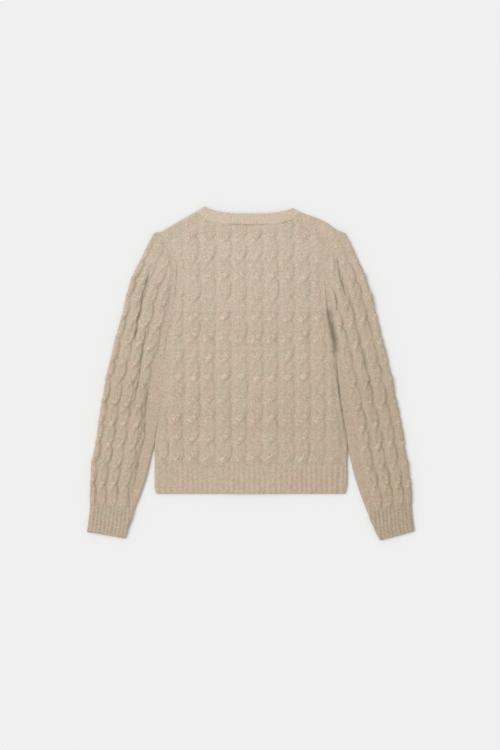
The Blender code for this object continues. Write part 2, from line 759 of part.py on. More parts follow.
def button_bands():
    """The two bands, with a hollow in the lower one for each button to lie in."""
    band("button_band", -BAND_HALF - BAND_LAP, BAND_HALF - BAND_LAP, WALL + BAND_GAP)
    lower = band("buttonhole_band", -BAND_HALF, BAND_HALF, 0.0)
    cutters = bpy.data.collections.new("cutters")
    bpy.context.scene.collection.children.link(cutters)
    depth = BUTTON_THICK + BUTTON_CLEAR
    for i, y in enumerate(button_places()):
        bpy.ops.mesh.primitive_cylinder_add(
            vertices=16, radius=(BUTTON_RADIUS + BUTTON_CLEAR * 2) * MM, depth=2 * depth * MM,
            location=(0.0, y * MM, 0.0))
        cutter = bpy.context.object
        cutter.name = "hollow_" + str(i + 1)
        cutter.hide_render = True
        cutter.display_type = "WIRE"
        for other in list(cutter.users_collection):
            other.objects.unlink(cutter)
        cutters.objects.link(cutter)
        cut = lower.modifiers.new("hollow_" + str(i + 1), "BOOLEAN")
        cut.object = cutter
        cut.operation = "DIFFERENCE"


def buttons():
    """Seven turned buttons with a raised rim, face down."""
    profile = ((0.0, 0.3), (0.6, 0.3), (0.78, 0.0), (1.0, 0.35), (0.95, 1.0), (0.0, 1.0))
    for i, y in enumerate(button_places()):
        mesh = bpy.data.meshes.new("button_profile")
        obj = bpy.data.objects.new("button_" + str(i + 1), mesh)
        bpy.context.scene.collection.objects.link(obj)
        bm = bmesh.new()
        verts = []
        for radius, height in profile:
            place = (radius * BUTTON_RADIUS * MM, 0.0, height * BUTTON_THICK * MM)
            verts.append(bm.verts.new(place))
        edges = [bm.edges.new(pair) for pair in zip(verts, verts[1:])]
        bmesh.ops.spin(bm, geom=verts + edges, cent=(0, 0, 0), axis=(0, 0, 1),
                       angle=2 * math.pi, steps=16, use_merge=True)
        bmesh.ops.remove_doubles(bm, verts=bm.verts, dist=0.00001)
        bmesh.ops.recalc_face_normals(bm, faces=bm.faces)
        bm.to_mesh(mesh)
        bm.free()
        mesh.shade_smooth()
        mesh.set_sharp_from_angle(angle=math.radians(40))
        obj.location = (0.0, y * MM, 0.0)
        finish(obj, BUTTON_COLOUR, 0.35)


def centre_over_origin():
    """Move the whole garment so that its box is centred over the origin."""
    bpy.context.view_layer.update()
    corners = []
    for obj in collection().objects:
        corners += [obj.matrix_world @ vert.co for vert in obj.data.vertices]
    shift = [-(min(c[k] for c in corners) + max(c[k] for c in corners)) / 2 for k in (0, 1)]
    for each in list(collection().objects) + list(bpy.data.collections["cutters"].objects):
        each.location.x += shift[0]
        each.location.y += shift[1]


def build():
    """Clear the file and make every piece."""
    for obj in list(bpy.data.objects):
        bpy.data.objects.remove(obj)
    back()
    back_hem()
    for which in ("left", "right"):
        sleeve(which)
        cuff(which)
        front(which)
        front_hem(which)
    neckband()
    button_bands()
    buttons()
    centre_over_origin()


build()
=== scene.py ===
import math

import bmesh
import bpy
import numpy as np
from mathutils import Matrix, Vector


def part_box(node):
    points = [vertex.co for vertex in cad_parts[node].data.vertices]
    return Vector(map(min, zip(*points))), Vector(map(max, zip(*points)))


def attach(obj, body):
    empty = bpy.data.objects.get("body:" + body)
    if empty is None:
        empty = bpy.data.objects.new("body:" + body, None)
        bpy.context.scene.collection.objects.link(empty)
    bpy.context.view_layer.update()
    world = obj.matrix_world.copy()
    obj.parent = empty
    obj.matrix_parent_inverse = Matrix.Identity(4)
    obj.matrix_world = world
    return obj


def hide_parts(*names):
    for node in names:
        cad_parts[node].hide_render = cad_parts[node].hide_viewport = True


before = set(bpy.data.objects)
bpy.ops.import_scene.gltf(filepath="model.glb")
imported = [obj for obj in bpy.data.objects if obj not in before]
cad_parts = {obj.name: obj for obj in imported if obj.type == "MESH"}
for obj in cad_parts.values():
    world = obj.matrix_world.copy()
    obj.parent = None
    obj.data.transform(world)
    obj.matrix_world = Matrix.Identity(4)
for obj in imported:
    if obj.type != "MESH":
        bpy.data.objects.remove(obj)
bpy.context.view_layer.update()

# ---------------------------------------------------------------- the back panel
# One panel of mid-weight marled wool yarn, knitted upwards from the hem: twelve
# rope cables between purl gutters, plain at the side edges, where it is sewn. It
# lies on the fronts, and rises over the two button bands, one on the other.
MM = 0.001

body_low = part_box("back_hem")[0]
LEFT_AT_HEM = -191.5      # the widest place of the left side, in the table below
HEM_Y = -240.0
SHIFT = np.array([body_low.x / MM - LEFT_AT_HEM, body_low.y / MM - HEM_Y, 0.0])

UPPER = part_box("back")[0].z / MM                  # underside of the upper layer
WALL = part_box("buttonhole_band")[1].z / MM        # thickness of plain knit
TOP = UPPER + WALL                                # plain right side of the back
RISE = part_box("button_band")[1].z / MM - WALL     # lift over the button bands
RISE_FLAT = 22.0          # half the width of the flat top of that lift
RISE_END = 80.0           # and half the width where it has gone
RISE_STOP_Y = 245.0       # it dies out from here upwards
RISE_GONE_Y = 288.0
SHOULDER_Y = 262.0        # where the shoulder seams meet the armholes
RIB_Y = -180.0            # where the ribs of the hem start
JOIN = 0.02               # between two pieces that are knitted on to each other

# The body's sides, and how far in from each the cloth starts to roll down: hardly
# at all where a sleeve is sewn on or lies close against it, widely in a groove.
SIDES = np.array([
    (-240.0, -188.0, 188.5, 5.0, 5.0),
    (-232.0, -190.5, 191.5, 5.0, 5.0),
    (-215.0, -191.5, 193.5, 5.0, 5.0),
    (-180.0, -191.0, 193.0, 5.0, 5.0),
    (-136.0, -190.5, 193.5, 5.0, 5.0),
    (-95.0, -185.0, 187.0, 0.6, 3.0),
    (-54.0, -179.0, 180.0, 0.05, 3.0),
    (26.0, -172.5, 172.5, 0.05, 4.0),
    (70.0, -168.0, 168.0, 0.05, 8.0),
    (110.0, -158.0, 157.0, 0.05, 7.0),
    (160.0, -150.0, 150.0, 0.05, 1.6),
    (196.0, -146.5, 146.5, 0.05, 0.05),
    (220.0, -147.5, 147.0, 0.05, 0.05),
    (240.0, -155.0, 153.0, 0.05, 0.05),
    (262.0, -166.0, 160.0, 0.05, 0.05),
    (286.0, -187.0, 170.0, 0.05, 0.05),
], dtype=[("y", float), ("left", float), ("right", float),
          ("left_roll", float), ("right_roll", float)])

# Folds of the cloth as it lies: from one end to the other, how deep, how wide
FOLDS = np.array([
    (-128.0, 215.0, -134.0, 120.0, 0.8, 8.0),
    (120.0, 190.0, 128.0, 40.0, 0.7, 9.0),
    (-5.0, 300.0, -5.0, 268.0, 1.2, 1.6),
    (-60.0, 60.0, -20.0, -80.0, 0.7, 16.0),
    (60.0, 120.0, 38.0, -30.0, 0.6, 15.0),
    (-150.0, 40.0, -120.0, -90.0, 0.8, 12.0),
    (148.0, -20.0, 118.0, -130.0, 0.9, 12.0),
    (-205.0, 212.0, -235.0, 56.0, 1.0, 8.0),
    (-205.0, 114.0, -220.0, -20.0, 0.8, 9.0),
    (-200.0, 0.0, -226.0, -200.0, 0.8, 9.0),
    (177.0, 236.0, 206.0, 94.0, 1.1, 8.0),
    (212.0, 200.0, 245.0, 70.0, 2.2, 9.0),
    (229.0, 30.0, 268.0, -160.0, 2.0, 10.0),
    (262.0, 10.0, 300.0, -170.0, 1.2, 11.0),
    (-90.0, -20.0, -96.0, -150.0, 0.9, 13.0),
    (20.0, -60.0, 8.0, -170.0, 0.8, 14.0),
], dtype=[("x0", float), ("y0", float), ("x1", float), ("y1", float),
          ("depth", float), ("width", float)])

# Tight creases, where the cloth doubles on itself: how deep, how wide, how dark
# the painted shade along each is, for the shadow deep in the fold, and the line
# that each follows. A wide one is a groove with a rounder bottom.
CREASES = (
    (2.2, 1.7, 0.85, ((-193, 214), (-203, 200), (-206, 186), (-214, 161), (-219, 129),
                      (-225, 106), (-229, 76), (-232, 56))),
    (2.0, 1.7, 0.75, ((-200, 112), (-207, 92), (-211, 70), (-219, 26), (-221, -2),
                      (-231, -50), (-235, -82))),
    (1.9, 1.6, 0.65, ((-203, 0), (-207, -45), (-211, -90), (-211, -122), (-221, -162),
                      (-226, -190), (-232, -218), (-238, -254))),
    (2.2, 1.7, 0.60, ((170, 238), (175, 218), (179, 196), (184, 176), (190, 157), (195, 141))),
    (1.4, 1.8, 0.45, ((169, 169), (173, 136), (174, 121))),
    (1.6, 2.4, 0.35, ((199, 166), (209, 108), (217, 66), (238, -10), (246, -60), (248, -96))),
    (0.6, 2.0, 0.75, ((152, 176), (154, 141), (157, 121), (160, 96), (165, 61), (169, 24),
                      (176, -30), (185, -95), (193, -150))),
    (1.0, 6.0, 0.80, ((155, 140), (159, 112), (163, 88), (169, 62), (173, 34))),
    (0.3, 1.2, 0.55, ((-56, 300), (-41, 298), (-8, 297.6), (20, 297.6), (44, 298))),
    (0.3, 1.2, 0.50, ((58, 299), (76, 303), (92, 309))),
    (0.4, 1.2, 0.30, ((-146, 222), (-147, 196), (-149, 168), (-151, 146))),
)
GROOVE = 3.0              # a crease is a groove from this width on
CREASE_POWER = 1.4        # how round the bottom of a crease is
GROOVE_POWER = 2.2
CREASE_WAVER = 0.9        # how far a crease strays from its line
CREASE_END = 0.2          # share of its length over which it dies out at each end
WAVES = 5                 # how many waves an unevenness is the sum of


def ease(value):
    """0 below 0, 1 above 1, and a smooth step between."""
    value = np.clip(value, 0.0, 1.0)
    return value * value * (3.0 - 2.0 * value)


def read(table, key, column, where):
    """A column of a table on the smooth curve through its rows."""
    places = table[key]
    values = table[column]
    slopes = np.gradient(values, places)
    row = np.clip(np.searchsorted(places, where) - 1, 0, len(places) - 2)
    span = places[row + 1] - places[row]
    t = np.clip((where - places[row]) / span, 0.0, 1.0)
    start = (1 + 2 * t) * (1 - t) ** 2 * values[row]
    end = t * t * (3 - 2 * t) * values[row + 1]
    leave = t * (1 - t) ** 2 * span * slopes[row]
    arrive = t * t * (t - 1) * span * slopes[row + 1]
    return start + end + leave + arrive


def bell(away, width):
    """1 in the middle, and less the further away, for a bell of that half width."""
    return np.exp(-(away / width) ** 2)


def waves(x, y, length, seed):
    """Soft unevenness, from -1 to 1, whose waves are about that long."""
    turns = np.random.default_rng(seed)
    total = 0.0
    for _ in range(WAVES):
        way = turns.uniform(0.0, 2 * math.pi)
        number = 2 * math.pi / (length * turns.uniform(0.7, 1.4))
        along = np.cos(way) * x + np.sin(way) * y
        total = total + np.sin(number * along + turns.uniform(0.0, 2 * math.pi))
    return total / WAVES ** 0.5 / 1.6


def folds(x, y):
    """How far the folds lower the cloth."""
    depth = 0.0
    for fold in FOLDS:
        run_x = fold["x1"] - fold["x0"]
        run_y = fold["y1"] - fold["y0"]
        length = math.hypot(run_x, run_y)
        along = ((x - fold["x0"]) * run_x + (y - fold["y0"]) * run_y) / length ** 2
        across = ((x - fold["x0"]) * run_y - (y - fold["y0"]) * run_x) / length
        across = across + 0.35 * fold["width"] * np.sin(along * 5.0 + fold["x0"])
        ends = ease(along * 4.0) * ease((1.0 - along) * 4.0)
        depth = depth + fold["depth"] * ends * bell(across, fold["width"])
    return depth


def creases(x, y):
    """How far the creases lower the cloth, and how much painted shade they put on it, from 0 to 1.
    """
    x, y = (x + CREASE_WAVER * waves(x, y, 24.0, 21), y + CREASE_WAVER * waves(x, y, 24.0, 22))
    depth = 0.0
    dark = 0.0
    for deep, wide, shade, line in CREASES:
        nearest = np.full(np.shape(x), 1000.0)
        way = np.zeros(np.shape(x))
        length = 0.0
        for (x0, y0), (x1, y1) in zip(line, line[1:]):
            run = math.hypot(x1 - x0, y1 - y0)
            along = np.clip(((x - x0) * (x1 - x0) + (y - y0) * (y1 - y0)) / run, 0.0, run)
            away = np.hypot(x - x0 - along * (x1 - x0) / run, y - y0 - along * (y1 - y0) / run)
            way = np.where(away < nearest, length + along, way)
            nearest = np.minimum(nearest, away)
            length = length + run
        fade = CREASE_END * length
        ends = ease(way / fade) * ease((length - way) / fade)
        uneven = np.clip(0.85 + 0.35 * waves(x, y, 30.0, 23), 0.3, 1.2)
        power = CREASE_POWER if wide < GROOVE else GROOVE_POWER
        trough = ends * uneven * np.exp(-(nearest / wide) ** power)
        depth = depth + deep * trough
        dark = np.maximum(dark, shade * trough)
    return depth, np.clip(dark, 0.0, 1.0)


def beneath(x, y):
    """How far a layer is pressed up from below, in folds of its own: those of the
    top, seen from the other side and softer."""
    return 0.5 * folds(-x, y) + 0.4 * creases(-x, y)[0]


def rise(x, y):
    """How far the back is raised over the button bands."""
    across = 1.0 - (np.abs(x) - RISE_FLAT) / (RISE_END - RISE_FLAT)
    up = 1.0 - (y - RISE_STOP_Y) / (RISE_GONE_Y - RISE_STOP_Y)
    return RISE * np.clip(across, 0.0, 1.0) * ease(up)


# The rope cable: two strands of three stitches each, which cross the same way
# every time, so that the strand that leans to the right lies on top.
WALE = 4.2                # width of a stitch
COURSE = 3.35             # height of a stitch
STRAND_HALF = 0.24        # half width of a strand, in widths of the cable's column
STRAND_SWING = 0.24       # how far a strand's middle goes from the column's middle
STRAND_TURN = 1.25        # how quickly the strands change places
STRAND_HEIGHT = 2.7
STRAND_ROUND = 0.85       # 0.5 is a round section, and more a peaked one
STRAND_LIFT = 0.5         # how far the upper strand lies over the lower at a crossing
STRAND_PAIR = 2.5         # height between two strands that lie side by side
WANDER = 3.0              # how far a crossing lies from its place, up or down
WEAKEST = 0.3             # share of its lift and its shades that the weakest crossing has
GUTTER = 1.4              # how far the gutters are filled by the crowded purl stitches
GUTTER_PATCH = 60.0       # how long the stretches are where they are crowded or open
# Painted shade and highlight on the cables, multiplied into the yarn's colour:
SHADED_GUTTER = 0.26      # how dark the deepest gutters are, and how wide
SHADED_WIDTH = 1.5
SHADED_FLANK = 0.05       # the softer shade on the flank beside a gutter
FLANK_WIDTH = 3.0
SHADED_LAP = 0.40         # and the line where the upper strand laps over the lower
LIT_LAP = 0.17            # and how light the upper strand is on its other side
TURNED_MIDDLE = 0.3       # where its stitches turn most, in half widths of the strand
TURNED_WIDTH = 0.55


def chance(first, second):
    """An uneven number from 0 to 1, always the same one for the same two numbers."""
    value = np.sin(first * 12.9898 + second * 78.233) * 43758.5453
    return value - np.floor(value)


def rope(columns, crossings, pitch, spacing, full, sunk, chosen=None):
    """The rope cables at places counted in columns and in crossings, each as full as
    that share of its column, between gutters sunk that much. Returns the height, the
    distance across and along the strand, how much a crossing turns its stitches, the
    painted shade there (less than 0 where a painted highlight lifts it), and the
    column, the crossing and the strand: 0 for the gutter, 1 for the upper strand and
    2 for the lower. With chosen, the last three are given, also for a point just
    outside them."""
    if chosen is None:
        column = np.floor(columns)
        crossing = np.round(crossings)
    else:
        column, crossing, strand = chosen
    strength = chance(crossing, column)
    x = (columns - column - 0.5) * pitch
    t = crossings - crossing
    t = t - WANDER / spacing * (2.0 * chance(column, crossing) - 1.0) * (1.0 - 4.0 * t ** 2)
    most = math.tanh(STRAND_TURN)
    swing = np.tanh(STRAND_TURN * np.sin(math.pi * t)) / most
    turn = (1.0 - (swing * most) ** 2) * STRAND_TURN * math.pi * np.cos(math.pi * t) / most
    crossed = 1.0 - swing ** 2
    half = STRAND_HALF * full * pitch
    reach = STRAND_SWING * full * pitch
    strands = []
    for sign in (1.0, -1.0):
        middle = sign * reach * swing
        slope = sign * reach * turn / spacing
        cosine = 1.0 / np.sqrt(1.0 + slope ** 2)
        across = (x - middle) * cosine
        along = t * spacing + (x - middle) * slope * cosine ** 2
        round_top = np.clip(1.0 - (across / half) ** 2, 0.0, 1.0) ** STRAND_ROUND
        lift = sign * STRAND_LIFT * (WEAKEST + 1.2 * strength) * crossed
        height = np.where(np.abs(across) < half, lift + STRAND_HEIGHT * round_top, -1.0)
        strands.append((height, across, along + crossing * spacing))
    upper, lower = strands
    if chosen is None:
        strand = np.where(upper[0] >= lower[0], 1, 2)
        strand = np.where(np.maximum(upper[0], lower[0]) <= 0.0, 0, strand)
    width = half + reach * np.abs(swing)
    pair = STRAND_PAIR * swing ** 2 * np.clip(1.0 - (x / width) ** 2, 0.0, 1.0) ** STRAND_ROUND
    height = np.maximum(np.maximum(upper[0], lower[0]), pair)
    patch = waves(columns * pitch, crossings * spacing, GUTTER_PATCH, 12)
    open_gutter = np.clip(sunk - 1.2 * patch, 0.0, 1.0)
    filled = GUTTER * (1.5 - 1.1 * open_gutter)
    height = np.sqrt(np.clip(height, 0.0, None) ** 2 + filled ** 2)
    # Painted shade in the gutters and on the flank beside them, a painted shadow where the upper
    # strand laps over the lower, and a painted highlight where its stitches turn.
    shaded = WEAKEST + 0.9 * strength
    turned = crossed ** 1.5 * shaded * bell(upper[1] / half + TURNED_MIDDLE, TURNED_WIDTH)
    beyond = x - width
    oval = np.where(t < 0.0, crossing - 1.0, crossing)
    beside = SHADED_GUTTER * open_gutter * (WEAKEST + 1.2 * chance(column, oval + 0.4))
    beside = beside * bell(beyond - 0.4, SHADED_WIDTH)
    beside = beside + SHADED_FLANK * bell(beyond + 1.5, FLANK_WIDTH)
    lapped = SHADED_LAP * np.sqrt(crossed) * shaded * bell(upper[1] - half, SHADED_WIDTH)
    dark = np.maximum(beside, lapped) - LIT_LAP * turned
    across = np.where(strand == 1, upper[1], np.where(strand == 2, lower[1], x))
    along = np.where(strand == 1, upper[2], np.where(strand == 2, lower[2], crossings * spacing))
    along = along + COURSE * chance(column, 0.5)
    return height, across, along, turned, dark, (column, crossing, strand)


def rope_on_face(place, centre, *sizes):
    """The rope cables at a place in columns and crossings, on the strand or in the
    gutter that is at centre. As rope returns it, but with the strand alone at the end."""
    *found, chosen = rope(*place, *sizes, rope(*centre, *sizes)[-1])
    return *found, chosen[2]


def rib_ridge(place):
    """The height of a rib, 0 to 1, at a place counted in ribs."""
    return ease(0.5 + 0.85 * np.cos(2 * math.pi * place))


def side(which, y):
    """X of the body's side seam or armhole."""
    return read(SIDES, "y", which, y)


COLUMN = 31.5             # a cable with its gutter
CENTRE_GUTTER = -5.0      # X of the gutter in the middle
BODY_FULL = 0.96          # share of its column that a cable fills
BODY_SUNK = 0.33          # how open the gutters are
BODY_FIRM = 0.8           # how high the cables stand
CROSSING = 40.1           # from crossing to crossing
FIRST_CROSSING = -129.6   # Y of one of them
COLUMN_BEND = 2.3         # how far the columns and the rows of crossings wave
CROSSING_BEND = 2.6
RIB_WIDTH = 10.4
RIB_HEIGHT = 1.1
RIB_START_BEND = 6.0      # how far the ribs' upper ends lie up or down
RIB_FADE = 9.0            # half the height over which they pass into the cables
# Painted shade between the hem's ribs, multiplied into the yarn's colour:
HEM_SHADE = 0.06          # how dark it is between the ribs
PLAIN_EDGE = 6.0          # the plain strip inside the side seams and armholes
EDGE_FADE = 12.0          # the width over which the cables rise beside it
PURL_RIB = 0.4            # below this share of a rib's height its purl side shows


def body_knit(x, y, centre=None):
    """The knit of the back and its hem. Returns the height, the place in stitches
    across and along, 1 where the purl side shows, how much a crossing turns the
    stitches, and the painted shade between strands or ribs, less than 0 where a
    painted highlight lifts a crossing. The place counts from the strand or rib at
    centre, the middle of the face that the points belong to."""
    at_x, at_y = (x, y) if centre is None else centre
    start_x = CENTRE_GUTTER - COLUMN_BEND * waves(at_x, at_y, 130.0, 3)
    start_y = FIRST_CROSSING - CROSSING_BEND * waves(at_x, at_y, 110.0, 4)
    height, across, along, turned, dark, strand = rope_on_face(
        ((x - start_x) / COLUMN, (y - start_y) / CROSSING),
        ((at_x - start_x) / COLUMN, (at_y - start_y) / CROSSING),
        COLUMN, CROSSING, BODY_FULL, BODY_SUNK)
    from_side = np.minimum(at_x - side("left", at_y), side("right", at_y) - at_x)
    cabled = ease((from_side - PLAIN_EDGE) / EDGE_FADE)
    rib_start = RIB_Y + RIB_START_BEND * waves(at_x, at_y, 60.0, 13)
    ribbed = ease((rib_start + RIB_FADE - at_y) / (2.0 * RIB_FADE))
    rib = rib_ridge((at_x - start_x) / RIB_WIDTH)
    firmness = BODY_FIRM + 0.2 * waves(at_x, at_y, 45.0, 5)
    rib_height = RIB_HEIGHT * (0.8 + 0.35 * waves(at_x, at_y, 50.0, 14) + at_x / 600.0)
    height = height * cabled * firmness * (1.0 - ribbed) + rib_height * rib * ribbed
    purl = np.where(ribbed > 0.5, rib < PURL_RIB, (strand == 0) & (cabled > 0.5))
    plain = (cabled < 0.5) & (strand == 0)
    wales = np.where(ribbed > 0.5, (x - CENTRE_GUTTER) * 2 / RIB_WIDTH + 0.5,
                     np.where(plain, x / WALE, across / WALE + 0.5))
    courses = np.where(ribbed > 0.5, y, along) / COURSE
    roped = cabled * (1.0 - ribbed)
    dark = 0.8 * dark * roped + HEM_SHADE * (1.0 - rib) * ribbed
    return height, wales, courses, purl.astype(float), turned * roped, dark


SIGN = {"left": -1.0, "right": 1.0}       # of X on that side
# Where the neck edge and the neckband's seam fold over the shoulders
NECK_PEAK = {"left": np.array([-89.3, 331.5]), "right": np.array([80.8, 328.0])}
SEAM_PEAK = {"left": np.array([-106.4, 320.7]), "right": np.array([98.5, 319.4])}
NECK_MIDDLE = -5.0        # X of the middle of the back neck
NECK_DIP = 319.6          # Y of the neck edge at the middle of the back
BAND_DIP = 297.6          # Y of the neckband's seam there
BAND_POWER = 3.0          # how square the neck edge's curve is, and its seam's
SEAM_POWER = 4.0


def band_seam_y(x):
    """Y of the neckband's seam across the back."""
    end_x, end_y = (np.where(x < NECK_MIDDLE, *ends) for ends in
                    zip(SEAM_PEAK["left"], SEAM_PEAK["right"]))
    t = np.abs((x - NECK_MIDDLE) / (end_x - NECK_MIDDLE))
    return BAND_DIP + (end_y - BAND_DIP) * t ** SEAM_POWER


NECK_X = {"left": -93.0, "right": 84.0}    # where the shoulder seams meet the neckband


def back_top(x, left, right):
    """Y of the back's upper edge: the neckband's seam, then the shoulder seams."""
    neck_x = np.where(x < NECK_MIDDLE, NECK_X["left"], NECK_X["right"])
    end_x = np.where(x < NECK_MIDDLE, left, right)
    slope = (SHOULDER_Y - band_seam_y(neck_x)) / (end_x - neck_x)
    shoulder = band_seam_y(neck_x) + slope * (x - neck_x)
    return np.where(np.abs(x - NECK_MIDDLE) <= np.abs(neck_x - NECK_MIDDLE),
                    band_seam_y(x), shoulder)


SOFT = 0.9                # the cloth's own unevenness as it lies
FREE_EDGE = UPPER + 0.8   # height of an edge that rolls over
SEWN_EDGE = TOP - 0.05    # and of one that a sleeve is sewn to
KNIT_FADE = 5.0           # the width over which the knit's relief rises from an edge
TOP_FADE = 9.0            # and below the neckband and the shoulder seams
LEAST_Z = 0.03            # nothing comes nearer to the surface than this


def lie(x, y):
    """Height of the plain right side of the upper layer."""
    return TOP + rise(x, y) - folds(x, y) - creases(x, y)[0] + SOFT * waves(x, y, 110.0, 6)


def over_edge(z, low, distance, roll):
    """The height z, rolled down to low at an edge that is that far away."""
    share = np.clip(1.0 - (1.0 - distance / roll) ** 2, 0.0, 1.0)
    return np.where(distance < roll, low + (z - low) * np.sqrt(share), z)


def edge_low(roll):
    """The height of an edge: a narrow roll is a sewn edge, a wide one is free."""
    return SEWN_EDGE + (FREE_EDGE - SEWN_EDGE) * ease((roll - 0.8) / 2.5)


def over_sides(z, x, left, right, y):
    """The height z, rolled down at both sides of the body."""
    for distance, column in ((x - left, "left_roll"), (right - x, "right_roll")):
        roll = np.maximum(read(SIDES, "y", column, y), 0.02)
        z = over_edge(z, edge_low(roll), distance, roll)
    return z


def upper_row(x, y, left, right, corner_y):
    """A row of the upper layer between its sides: the plain right side, the way that
    it faces, the wrong side, and the share of the relief that the sides leave."""
    z = over_sides(lie(x, y), x, left, right, corner_y)
    plain = np.stack([x, y, z], axis=1)
    wrong = np.stack([x, y, UPPER + rise(x, y)], axis=1)
    up = np.tile([0.0, 0.0, 1.0], (len(x), 1))
    return plain, up, wrong, np.clip(np.minimum(x - left, right - x) / KNIT_FADE, 0.0, 1.0)


def back_row(u, v):
    """A row of the back panel, at v of the way up."""
    corner_y = RIB_Y + JOIN + (SHOULDER_Y - RIB_Y) * v
    left, right = side("left", corner_y), side("right", corner_y)
    x = left + (right - left) * u
    top = back_top(x, left, right)
    y = RIB_Y + JOIN + (top - 2 * JOIN - RIB_Y) * v
    plain, up, wrong, relief = upper_row(x, y, left, right, corner_y)
    return plain, up, wrong, np.stack([x, y, relief * ease((top - y) / TOP_FADE)], axis=1)


SHARP = math.radians(62.0)


def in_scene(name, data):
    """An object of that data in the scene."""
    made = bpy.data.objects.new(name, data)
    bpy.context.scene.collection.objects.link(made)
    return made


def knit_shell(name, across, along, row, knit, coarser=5, tube=False):
    """A closed wall of knit: a fine grid for its right side, with the cables' and
    ribs' height on it, a coarser one for its wrong side, and a rim between them. row
    gives the plain right side, the way it faces, the wrong side, and the place in
    the fabric with the share of the relief there. Returns the piece and the area
    that it was knitted to, in square metres."""
    u = np.linspace(0.0, 1.0, across + 1)
    rows = [row(u, v) for v in np.linspace(0.0, 1.0, along + 1)]
    plain, facing, wrong, fabric = (np.stack([r[i] for r in rows]) for i in range(4))
    height, _, _, _, _, between = knit(fabric[..., 0], fabric[..., 1])
    right = plain + facing * (height * fabric[..., 2])[..., None]
    right[..., 2] = np.maximum(right[..., 2], LEAST_Z)
    # Painted shade that each point carries into the wool's colour: the creases', softer on the
    # underside, and the knit's between strands and ribs, which is a painted highlight below 0.
    x, y = plain[..., 0], plain[..., 1]
    creased = np.where(facing[..., 2] > 0.0, creases(x, y)[1], 0.6 * creases(-x, y)[1])
    between = between * np.clip(fabric[..., 2], 0.0, 1.0)
    dark = np.maximum(creased * np.abs(facing[..., 2]), between) + np.minimum(between, 0.0)
    bm = bmesh.new()
    place = bm.verts.layers.float_vector.new("fabric")
    crease_shade = bm.verts.layers.float.new("crease_shade")
    for points, shade, every in ((right, dark, 1), (wrong, 0.0 * dark, coarser)):
        lengthways, crossways = along // every, across // every
        made = bmesh.ops.create_grid(bm, x_segments=crossways, y_segments=lengthways, size=0.5)
        for vert in made["verts"]:
            i = round((vert.co.x + 0.5) * crossways)
            j = round((vert.co.y + 0.5) * lengthways)
            here = (j * every, i * every)
            vert[place] = (*fabric[here][:2], j / lengthways)
            vert[crease_shade] = shade[here]
            vert.co = (points[here] + SHIFT) * MM
    mesh = bpy.data.meshes.new(name)
    bm.to_mesh(mesh)
    bm.free()
    lay_stitches(mesh, knit, across * along)
    bm = bmesh.new()
    bm.from_mesh(mesh)
    place = bm.verts.layers.float_vector["fabric"]
    stitches = bm.loops.layers.uv["stitches"]
    if tube:
        bmesh.ops.remove_doubles(bm, verts=bm.verts, dist=0.000001)
    edges = [edge for edge in bm.edges if edge.is_boundary]
    for face in bm.faces:
        face.smooth = True
    for edge in bm.edges:
        edge.smooth = edge.calc_face_angle(math.pi) < SHARP
    ends = [edges]
    if tube:
        ends = [[edge for edge in edges if abs(edge.verts[0][place].z - end) < 0.001]
                for end in (0.0, 1.0)]
    for end in ends:
        rim = bmesh.ops.bridge_loops(bm, edges=end)["faces"]
        for face in rim:
            for loop in face.loops:
                s, t, _ = loop.vert[place]
                loop[stitches].uv = (s / WALE, t / COURSE)
    bmesh.ops.recalc_face_normals(bm, faces=bm.faces)
    bm.to_mesh(mesh)
    bm.free()
    mesh.attributes.remove(mesh.attributes["fabric"])
    a = plain[1:, 1:] - plain[:-1, :-1]
    b = plain[1:, :-1] - plain[:-1, 1:]
    area = np.linalg.norm(np.cross(a, b), axis=2).sum() / 2 * MM ** 2
    return in_scene(name, mesh), float(area)


def lay_stitches(mesh, knit, right_faces):
    """A map of the stitches, a unit for each, along the strands and ribs, and two
    attributes: one is 1 where the purl side shows, as it does all over the wrong
    side, and the other says how much a crossing turns the stitches. The faces of the
    right side come first."""
    points = np.zeros(len(mesh.vertices) * 3)
    mesh.attributes["fabric"].data.foreach_get("vector", points)
    corners = np.zeros(len(mesh.loops), dtype=int)
    mesh.loops.foreach_get("vertex_index", corners)
    place = points.reshape(-1, 3)[corners, :2].reshape(-1, 4, 2)
    centre = np.repeat(place.mean(axis=1, keepdims=True), 4, axis=1).reshape(-1, 2)
    place = place.reshape(-1, 2)
    _, wales, courses, purl, turned, _ = knit(*place.T, centre.T)
    inside = slice(right_faces * 4, None)
    wales[inside] = place[inside, 0] / WALE
    courses[inside] = place[inside, 1] / COURSE
    purl[inside] = 1.0
    turned[inside] = 0.0
    uv = mesh.uv_layers.new(name="stitches")
    uv.data.foreach_set("uv", np.stack([wales, courses], axis=1).ravel())
    for name, values in (("purl", purl), ("turned", turned)):
        shown = mesh.attributes.new(name, "FLOAT", "FACE")
        shown.data.foreach_set("value", values.reshape(-1, 4).mean(axis=1))


back, back_area = knit_shell("back_knit", 300, 290, back_row, body_knit)


# The yarn: wool spun from fibres dyed in two near shades, so that it is marled and
# has no shine but a soft bloom at a low angle. Each stitch is a V of two legs; the
# purl side shows rows of small arcs. Painted shade makes the knit a little darker
# between them. Single stitches are a little lighter or darker at random, and where
# a crossing turns the stitches this is stronger, as painted glints, and the flecks
# are crisper.
def linear(code):
    """A colour from its sRGB hex code."""
    values = [int(code[i:i + 2], 16) / 255 for i in (0, 2, 4)]
    return [v / 12.92 if v <= 0.04045 else ((v + 0.055) / 1.055) ** 2.4 for v in values] + [1.0]


def add_node(tree, kind, settings=None, **links):
    """A node with its settings. A link gives an input, by its name or number with
    _ before it, a value or another node's output."""
    node = tree.nodes.new("ShaderNode" + kind)
    for key, value in (settings or {}).items():
        setattr(node, key, value)
    for key, value in links.items():
        socket = node.inputs[int(key[1:])] if key[0] == "_" else node.inputs[key.replace("_", " ")]
        if isinstance(value, bpy.types.NodeSocket):
            tree.links.new(value, socket)
        else:
            socket.default_value = value
    return node


